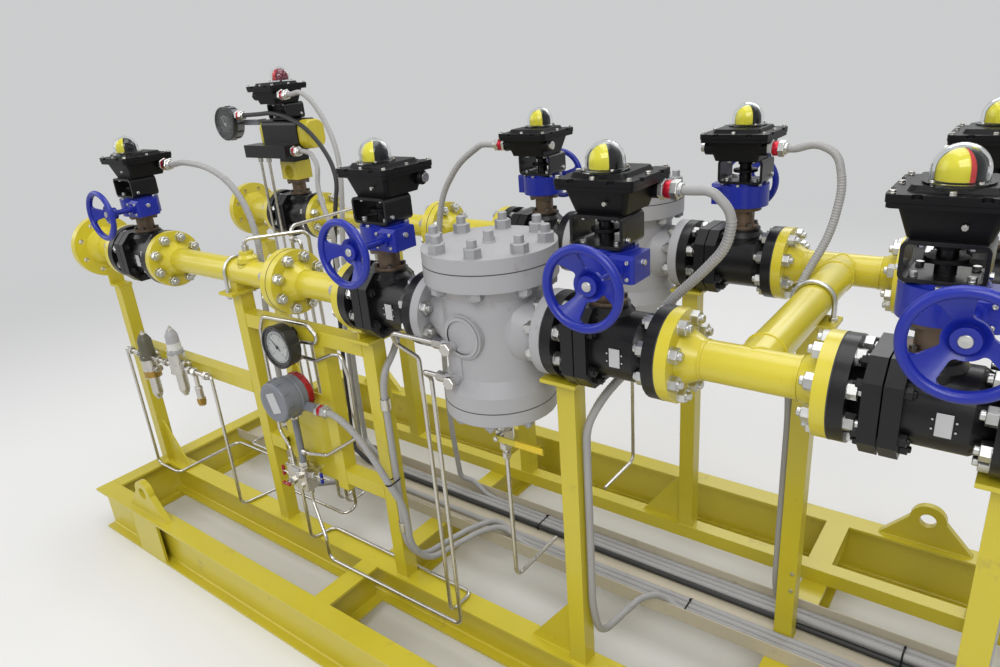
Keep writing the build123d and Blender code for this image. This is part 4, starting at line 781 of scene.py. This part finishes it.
# Filter vessels: nuts over and under the covers, plug, boss ring and gaskets
COVER_TOP = 206
vessel_nuts = Batch("vessel_nuts", "galvanised")
vessel_trim = Batch("vessel_trim", "grey_paint")
for side, row in zip(SIDES, ("front", "back")):
    at = Matrix.Translation((VESSEL_X, side * RUN_Y, PIPE_Z))
    for radius, z, way, size in ((143, COVER_TOP, UP, (38, 24, 12, 19)), (149, 124, DOWN, (34, 20, 10.5, 6)),
                                 (126, -234, DOWN, (27, 16, 8.5, 8))):
        for k, dx, dy in on_circle(8, radius, 22.5):
            vessel_nuts.put(nut(*size), at @ placed(dx, dy, z, way, 13 * k))
    cover = at @ placed(0, 0, COVER_TOP)
    vessel_trim.put(lathe([(17, -1), (17, 2), (15.5, 4), (15.5, 12), (0, 12)], 32), cover)
    vessel_trim.hexes(cover, (20, 24, 12, 30, 1.8))
    vessel_trim.put(lathe([(44, 0), (50, 0), (52, 2), (52, 4), (44, 4)], 44),
                    at @ placed(0, side * 137, 0, (0, side, 0)))
    gasket_line = Batch(f"cover_gasket_{row}", "gasket_dark")
    for r0, r1, z in ((165, 170.5, 170), (144, 149.5, -197)):
        gasket_line.put(lathe([(r0, -1.2), (r1, -1.2), (r1, 1.2), (r0, 1.2)], 72), at @ placed(0, 0, z))
    gasket_line.build()
build(vessel_nuts, vessel_trim)

# Drain valves: flats of the body, nuts, and the sleeves of the levers
DRAIN_Z = 890
drain_trim = Batch("drain_trim", "stainless")
for side in SIDES:
    y = side * RUN_Y
    for z, bar in ((0, (47, -16, 16, 1.5)), (31, (30, -9, 9, 1.2)), (-39, (30, -9, 9, 1.2)), (-70, (21, -9, 9, 1))):
        drain_trim.put(hex_bar(*bar), placed(VESSEL_X, y, DRAIN_Z + z))
    drain_trim.put(nut(15, 9), placed(VESSEL_X, side * (RUN_Y + 24), DRAIN_Z, (0, side, 0)))
drain_trim.build()


def flat_oval(half_width, half_height):
    """Flattened section with rounded corners, twenty points."""
    section = []
    for k in range(20):
        c, s = cos(2 * pi * k / 20), sin(2 * pi * k / 20)
        section.append((half_height * abs(s) ** 0.6 * (1 if s > 0 else -1),
                        half_width * abs(c) ** 0.6 * (1 if c > 0 else -1)))
    return section


for side, row in zip(SIDES, ("front", "back")):
    lever = Batch(f"lever_sleeve_{row}", "grip_yellow", f"drain_lever_{row}")
    at = placed(VESSEL_X + 62, side * 412.0, DRAIN_Z, (1, 0, 0))
    for k in range(9):
        lever.put(prism(flat_oval(9.9, 3.6), 9.6 * k, 9.6 * k + 8.6, 0.8), at)
    lever.put(prism(flat_oval(9.9 * 0.97, 3.6 * 0.94), 0, 86), at)
    boss = Batch(f"lever_nut_{row}", "stainless", f"drain_lever_{row}")
    boss.put(nut(13, 7, 4, 2), placed(VESSEL_X, side * 414, DRAIN_Z, (0, side, 0), 10))
    build(lever, boss)

# Pressure gauge: bare dial with ticks and plain numbers, needle and glass
GLASS = lathe([(0, 5.6), (65.2, 5.6), (65.2, 7.2), (40, 8.1), (0, 8.6)], 64)
dial = Batch("gauge_dial", "dial_white")
marks = Batch("gauge_marks", "black_plastic", smooth=20)
gauge_at = placed(-474, -469, 1021, OUT)
dial.put(lathe([(54.5, 0.2), (54.5, 1.0), (0, 1.0)], 64), gauge_at)
marks.put(lathe([(64.8, 0.2), (64.8, 2.4), (62, 3.0), (54.5, 1.2), (54.5, 0.2)], 64), gauge_at)
for k in range(51):
    half, inner = (0.5, 43) if k % 10 else (0.9, 39)
    marks.put(cuboid(-half, half, inner, 49, 0.95, 1.3), gauge_at @ turned(135 - 5.4 * k))
marks.put(lathe([(49.0, 0.9), (50.0, 0.9), (50.0, 1.3), (49.0, 1.3)], 64), gauge_at)
needle = prism([(-1.8, -18), (1.8, -18), (2.1, 0), (0.6, 41), (-0.6, 41), (-2.1, 0)], 2.6, 3.4, 0.2)
marks.put(needle, gauge_at @ turned(50))
marks.put(lathe([(6.5, 1.4), (6.5, 4.2), (5.0, 5.0), (0, 5.0)], 24), gauge_at)
bezel = Batch("gauge_bezel", "gauge_black")
bezel.put(lathe([(65.2, 1), (65.2, 8), (66.5, 10.5), (69.5, 11), (73, 9.2), (74, 6), (74, -2), (72, -3)], 72),
          gauge_at)
bezel.put(lathe([(20, -40), (24, -38), (24, -36), (21, -36)], 24), gauge_at)
for k, dx, dy in on_circle(3, 69.6, 90):
    bezel.put(socket_screw(3.0, 2.4), gauge_at @ placed(dx, dy, 10.4))
glass = Batch("gauge_glass", "clear_glass", smooth=60)
glass.put(GLASS, gauge_at)
build(dial, marks, bezel, glass)


def figure(text, size, at):
    """Mesh of a flat plain number, its size and place in millimetres."""
    data = bpy.data.curves.new("figure", "FONT")
    data.body = text
    data.size = size * MM
    data.extrude = 0.0001
    data.align_x, data.align_y = "CENTER", "CENTER"
    holder = bpy.data.objects.new("figure", data)
    scene.collection.objects.link(holder)
    bpy.context.view_layer.update()
    mesh = bpy.data.meshes.new_from_object(holder.evaluated_get(bpy.context.evaluated_depsgraph_get()))
    bpy.data.objects.remove(holder)
    bpy.data.curves.remove(data)
    at.translation = at.translation * MM
    mesh.transform(at)
    return mesh


numbers = bmesh.new()
for k in range(6):
    a = radians(-135 + 54 * k)
    mesh = figure(str(2 * k), 9.0, gauge_at @ placed(31.5 * sin(a), 31.5 * cos(a), 1.05))
    numbers.from_mesh(mesh)
    bpy.data.meshes.remove(mesh)
number_mesh = bpy.data.meshes.new("gauge_numbers")
numbers.to_mesh(number_mesh)
numbers.free()
number_mesh.materials.append(materials["black_plastic"])
gauge_numbers = bpy.data.objects.new("gauge_numbers", number_mesh)
scene.collection.objects.link(gauge_numbers)
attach(gauge_numbers, "frame")

# Positioner: window with its scale, pointer and grip lugs of the cover
positioner_trim = Batch("positioner_trim", "gauge_black")
positioner_dial = Batch("positioner_dial", "dial_grey")
positioner_marks = Batch("positioner_marks", "dial_white", smooth=20)
pos_at = placed(-1668.5, 280, 1640, OUT)
positioner_trim.put(lathe([(65.2, 0), (65.2, 8), (67, 10.4), (72, 10.4), (75.5, 7.5), (76, 2), (76, -10),
                           (74, -11)], 72), pos_at)
for k in range(12):
    positioner_trim.put(cuboid(-3.5, 3.5, 73, 77.5, -40, -12, 0.8), pos_at @ turned(30 * k))
positioner_dial.put(lathe([(40, 0.3), (40, 1.6), (0, 1.6)], 48), pos_at)
positioner_trim.put(lathe([(64.8, 0.2), (64.8, 0.8), (40, 0.8)], 64), pos_at)
for k in range(19):
    tick = cuboid(-0.5, 0.5, 33 if k % 9 else 30, 38, 1.7, 1.9)
    positioner_marks.put(tick, pos_at @ turned(45 - 5 * k))
positioner_marks.put(prism([(-2, -12), (2, -12), (0.7, 34), (-0.7, 34)], 3, 3.9, 0.2), pos_at @ turned(38))
positioner_marks.put(lathe([(5, 1.6), (5, 4.6), (0, 5.2)], 20), pos_at)
positioner_glass = Batch("positioner_glass", "clear_glass", smooth=60)
positioner_glass.put(GLASS, pos_at)
build(positioner_trim, positioner_dial, positioner_marks, positioner_glass)

# Transmitter: cap with grip lugs, bare label plates and red rear cover
TRANSMITTER_X = -486
TRANSMITTER_Z = 836
transmitter_trim = Batch("transmitter_trim", "housing_grey")
face = placed(TRANSMITTER_X, -521, TRANSMITTER_Z, OUT)
transmitter_trim.put(lathe([(70.5, -26), (70.5, -3), (67, 1.2), (52, 2.2), (50, 1.0), (0, 1.0)], 72), face)
for k in range(10):
    transmitter_trim.put(cuboid(-4, 4, 68, 73.5, -24, -5, 1.0), face @ turned(18 + 36 * k))
transmitter_trim.put(lathe([(69.5, -74), (71, -72), (71, -66), (69.5, -64)], 72), face)
transmitter_trim.put(lathe([(12, -61), (12, 73), (9, 76), (0, 76)], 24),
                     placed(TRANSMITTER_X, -480, TRANSMITTER_Z, (-0.5, 0, 0.87)))
plates = Batch("transmitter_plates", "tag_steel")
label = face @ placed(2, 0, 0, UP, 20)
plates.put(cuboid(-23, 23, -36, 36, 0.9, 2.2, 0.4), label)
for dx, dy in product((-20, 20), (-33, 33)):
    plates.put(lathe([(0, 2.2), (1.9, 2.2), (1.5, 3.2), (0, 3.4)], 10), label @ Matrix.Translation((dx, dy, 0)))
plates.put(cuboid(-22, 22, -11, 11, 0, 1.2, 0.4), placed(-534, -460.2, 530, OUT))
rear = Batch("transmitter_rear", "red_plastic")
back = placed(TRANSMITTER_X, -429, TRANSMITTER_Z, (0, 1, 0))
rear.put(lathe([(64.6, 0.6), (68, 1), (68.4, 4), (68.4, 21), (66, 24.5), (60, 26.6), (0, 26.6)], 72), back)
for k in range(14):
    rear.put(cuboid(-4.5, 4.5, 66.5, 70.5, 3, 22, 0.8), back @ turned(360 / 14 * k))
build(transmitter_trim, plates, rear)

# Manifold: bonnets, plugs, screws, and red and blue sleeves on the handles
BLOCK_X = -534
BLOCK_Y = -437
BLOCK_FACE = -459
HANDLE_X = -560
PLUG_X = -512
STEM_X = -510
manifold_trim = Batch("manifold_trim", "stainless")
red_grips = Batch("handle_sleeves_red", "red_plastic")
blue_grips = Batch("handle_sleeves_blue", "blue_plastic")
sleeve = lathe([(0, -1), (5.6, -1), (6.1, 1), (6.1, 14), (4.6, 16), (0, 16)], 20)
for s, z, grip in ((-1, 484, red_grips), (1, 520, blue_grips)):
    manifold_trim.hexes(placed(BLOCK_X + s * 52, BLOCK_Y, z, (s, 0, 0)), (10, 30, 0, 12, 1.2), (24, 22, 12, 25, 1.0),
                        (5, 14, 25, 31, 0.8))
    for e in ENDS:
        grip.put(sleeve, placed(BLOCK_X + s * 112, BLOCK_Y, z + e * 4, (0, 0, e)))
        if s < 0:
            red_grips.put(sleeve, placed(HANDLE_X + e * 4, -489, z, (e, 0, 0)))
manifold_trim.hexes(placed(HANDLE_X, BLOCK_FACE, 484, OUT), (10, 30, 0, 10, 1.2), (33, 20, 10, 20, 1.0))
manifold_trim.hexes(placed(PLUG_X, BLOCK_FACE, 520, OUT), (10, 24, 0, 9, 1.2), (10, 17, 9, 14, 1.0))
manifold_trim.hexes(placed(PLUG_X, BLOCK_FACE, 476, OUT), (22, 20, 0, 8, 1.2))
for dx, dz in product((-46, 46), (-40, 40)):
    manifold_trim.put(socket_screw(4.4, 5), placed(BLOCK_X + dx, BLOCK_FACE, 502 + dz, OUT))
manifold_trim.hexes(placed(STEM_X, BLOCK_Y, 549), (0, 30, 0, 14, 1.2))
manifold_trim.hexes(placed(STEM_X, BLOCK_Y, 736), (0, 27, 0, 12, 1.2))
for dx, dy in product((-13, 13), (-13, 13)):
    manifold_trim.put(hex_bolt(10, 7), placed(STEM_X + dx, BLOCK_Y + dy, 748, DOWN, 20))
build(manifold_trim, red_grips, blue_grips)

# Pilot regulators
PILOT_Y = -441
LEFT_PILOT = -1460
RIGHT_PILOT = -1220
DROP_X = -1109
LINE_Z = 785
pilot_trim = Batch("pilot_trim", "stainless")
olive = Batch("pilot_bell_left", "olive_paint")
grey_bell = Batch("pilot_bell_right", "grey_paint")
bands = Batch("pilot_bands", "dial_white")
blue_ring = Batch("pilot_ring", "blue_plastic")
brass = Batch("pilot_brass", "brass")
for x, foot, radius, height, bell in ((LEFT_PILOT, 775, 30, 106, olive),
                                       (RIGHT_PILOT, 847, 26, 96, grey_bell)):
    at = placed(x, PILOT_Y, foot)
    rim, brim = radius + 4.8, height / 8
    bell.put(lathe([(0, 0.5), (rim - 0.2, 0.5), (rim, 2), (rim, brim - 1), (rim - 1.2, brim + 0.8),
                    (radius + 0.6, brim + 1.2), (radius * 0.92 + 0.6, height * 0.78),
                    (radius * 0.84, height * 0.84), (radius * 0.60, height * 0.97), (radius * 0.5, height + 0.8),
                    (0, height + 0.8)], 48), at)
    for k, dx, dy in on_circle(6, radius + 0.6):
        pilot_trim.put(hex_bolt(8, 5), at @ placed(dx, dy, brim + 0.6, UP, 15 * k))
    pilot_trim.put(nut(17, 9, 4.5, 8), at @ placed(0, 0, height + 0.6))
    for z in (-82, -46, -4):
        pilot_trim.put(lathe([(32.5, z - 1.5), (35, z - 0.5), (35, z + 2.5), (32.5, z + 3.5)], 44), at)
    for s in ENDS:
        pilot_trim.hexes(at @ placed(s * 33, 0, -42, (s, 0, 0)), (11, 27, 0, 12, 1.2), (30, 20, 12, 22, 1.0))
    pilot_trim.hexes(at @ placed(0, -33, -60, OUT), (11, 22, 0, 10, 1.2))
    pilot_trim.hexes(at @ placed(0, 0, -176), (11, 18, -10, 1, 1.0))
bands.put(lathe([(27.0, 14), (27.3, 14), (26.4, 44), (26.1, 44)], 48), placed(RIGHT_PILOT, PILOT_Y, 847))
blue_ring.put(lathe([(30.9, 0), (31.6, 0.5), (31.6, 7.5), (30.9, 8)], 48), placed(RIGHT_PILOT, PILOT_Y, 838))
brass.put(lathe([(33.1, -80), (34.4, -79), (34.4, -52), (33.1, -51)], 44), placed(LEFT_PILOT, PILOT_Y, 775))
brass.hexes(placed(DROP_X, PILOT_Y, 652), (14, 30, 0, 22, 1.5))
brass.put(lathe([(10, -8), (14.8, -6), (14.8, 0), (10, 1)], 24), placed(DROP_X, PILOT_Y, 652))
for offset in (840, 780, 620, 560, 390, 352, 274):
    pilot_trim.hexes(placed(POSTS[1] - offset, PILOT_Y, LINE_Z, (1, 0, 0)), (offset, 29.5, 0.5, 17.5, 1.6))
for z in (714, 690, 664):
    pilot_trim.hexes(placed(DROP_X, PILOT_Y, z), (z, 26, 0, 9, 1.4))
build(pilot_trim, olive, grey_bell, bands, blue_ring, brass)

# Red rings and nuts of the conduit connectors: at the switch boxes, transmitter, solenoid block and positioner
rings = Batch("connector_rings", "red_metal")
connector_nuts = Batch("connector_nuts", "zinc_steel")
leads = [(-370.0, -437.0, 804.0, 1), (-1209.5, 279.0, 1523.0, 1), (-1594.5, 300.0, 1675.0, 1)]
for name, x, side in STACKS:
    s = -1 if name in ("v2", "b2") else 1
    leads.append((x + s * 87, side * (RUN_Y - 80), 1560.0 + (BOX_LIFT if name == "b1" else 0), s))
for x, y, z, s in leads:
    at = placed(x, y, z, (s, 0, 0))
    rings.put(lathe([(15.8, 13.5), (19.0, 14), (19.6, 15.5), (19.6, 27.5), (19.0, 29), (15.8, 29.5)], 36), at)
    connector_nuts.put(hex_bar(40, 1.5, 13, 1.6), at @ Matrix.Rotation(0.4, 4, "Z"))
    connector_nuts.put(hex_bar(39, 29, 45, 2.0), at @ Matrix.Rotation(0.15, 4, "Z"))
    connector_nuts.put(lathe([(11.5, 44), (15.5, 45), (15.0, 51), (12.5, 53), (11.0, 53)], 32), at)
build(rings, connector_nuts)

# Ribs of the conduits' core, which show through their jackets. Each hose has the place of its connector,
# the way it leaves, the post that its steps count from, and the lengths without ribs at its two ends
PORT = 139.0
PORT_Y = 295
PORT_Z = 1560
BEND_SHARE = 0.45
RIB_PITCH = 7.2
HOSES = (
    ((VALVES[0] + FRONT_SHIFT[0] + PORT, -PORT_Y, PORT_Z), 1, 1,
     ((-334, 80, 351), (-194, 82, 340), (-84, 87, 295), (-14, 91, 215), (31, 83, 110), (58, 62, 10), (60, 39, -130)),
     330, 60),
    ((VALVES[2] + FRONT_SHIFT[2] + PORT, -PORT_Y, PORT_Z), 1, 3,
     ((312, 82, 342), (355, 92, 295), (342, 100, 220), (282, 103, 150), (217, 103, 85), (165, 103, 15),
      (125, 99, -90), (67, 45, -170), (38, 3, -245)), 130, 60),
    ((VALVES[2] + BACK_SHIFT[2] + PORT, PORT_Y, PORT_Z), 1, 3,
     ((361, 669, 355), (417, 665, 330), (438, 655, 250), (426, 625, 130), (377, 565, 10), (362, 505, -98),
      (388, 465, -205)), 180, 60),
    ((VALVES[1] + BACK_SHIFT[1] - PORT, PORT_Y, PORT_Z), -1, 2,
     ((-44, 660, 342), (-141, 645, 280), (-219, 630, 171), (-243, 615, 51), (-238, 590, -126), (-223, 540, -428)),
     60, 260),
    ((-318, -437, 804), 1, 2,
     ((-109, -75, -420), (-49, -75, -460), (1, -72, -520), (45, -64, -600), (73, -36, -700)), 60, 40),
)
ribs = Batch("conduit_ribs", "conduit_grey", smooth=60)
rib = lathe([(10.2, -2.2), (11.6, -1.1), (11.6, 1.1), (10.2, 2.2)], 16)
for (x, y, z), s, post, steps, skip, spare in HOSES:
    path = [(x + s * 0.3, y, z), (x + s * 20, y, z)]
    path += [(POSTS[post] + dx, dy - RUN_Y, PIPE_Z + dz) for dx, dy, dz in steps]
    for at, way in along_hose(path, BEND_SHARE, RIB_PITCH)[int(skip / RIB_PITCH):-int(spare / RIB_PITCH)]:
        ribs.put(rib, placed(*at, way))
ribs.build()

# Compression nuts at the ends of the tubing
tube_nuts = Batch("tube_nuts", "stainless")
fitting = joined(hex_bar(19, 0, 12, 1.2), lathe([(6.3, 12), (8.6, 12), (7.2, 16), (6.3, 16)], 20),
                 hex_bar(17, -8, -0.6, 0.8))
for x, y, z, way in ((-1610, -441, 785, (-1, 0, 0)), (-1022, -441, 785, (1, 0, 0)), (SOCKET_X, -RUN_Y, 1299, UP),
                     (SOCKET_X, RUN_Y, 1299, UP), (-1410, 250, 1495, DOWN), (-1350, 250, 1495, DOWN),
                     (-572, -437, 549, UP), (-500, -437, 455, DOWN), (-555, -437, 455, DOWN),
                     (304, -519, 1194, (-1, 0, 0)), (304, -519, 1103, (-1, 0, 0)), (-436, -432.5, 1026, (0, 1, 0)),
                     (-443, -432.5, 972, (0, 1, 0)), (-497.5, -437, 607, (1, 0, 0))):
    tube_nuts.put(fitting, placed(x, y, z, way, 9))
for z in (1194, 1103):
    tube_nuts.hexes(placed(334, -535, z, OUT), (12, 31, 0, 14, 1.6))
    tube_nuts.hexes(placed(308, -519, z, (1, 0, 0)), (12, 25, -30, -2, 1.6))
tube_nuts.build()

# Cable ties and the screws that hold the tray to the crossover post
FRONT_LANES = (-26.5, -5, 16.5, 38)
BACK_LANES = (112, 133.4, 154.8, 176.2)
ties = Batch("cable_ties", "black_plastic", smooth=40)
ties.put(strap([(-76, -400), (-74, -437)], 11.0, Matrix.Translation((0, 0, 612))))
ties.put(cuboid(-3.5, 3.5, -3, 3, 0, 6, 0.6), placed(-87.5, -424, 612, (-1, 0, 0)))
upright = Matrix(((0, 0, 1, 0), (1, 0, 0, 0), (0, 1, 0, 0), (0, 0, 0, 1)))
for x, lanes in ((740, FRONT_LANES), (1330, FRONT_LANES), (100, BACK_LANES), (1330, BACK_LANES)):
    rows = [(y, 165.8) for y in lanes]
    if x == 1330:
        rows.append(((lanes[0] + lanes[1]) / 2, 187.3))
    ties.put(strap(rows, 10.9, Matrix.Translation((x, 0, 0)) @ upright))
    ties.put(cuboid(-3.5, 3.5, -3, 3, 0, 5, 0.6), placed(x, lanes[-1] - 6, 177.8))
tray_screws = Batch("tray_screws", "zinc_steel")
for z in (400, 340):
    tray_screws.put(hex_bolt(10, 6), placed(1036, 49.6, z, OUT, 11))
build(ties, tray_screws)
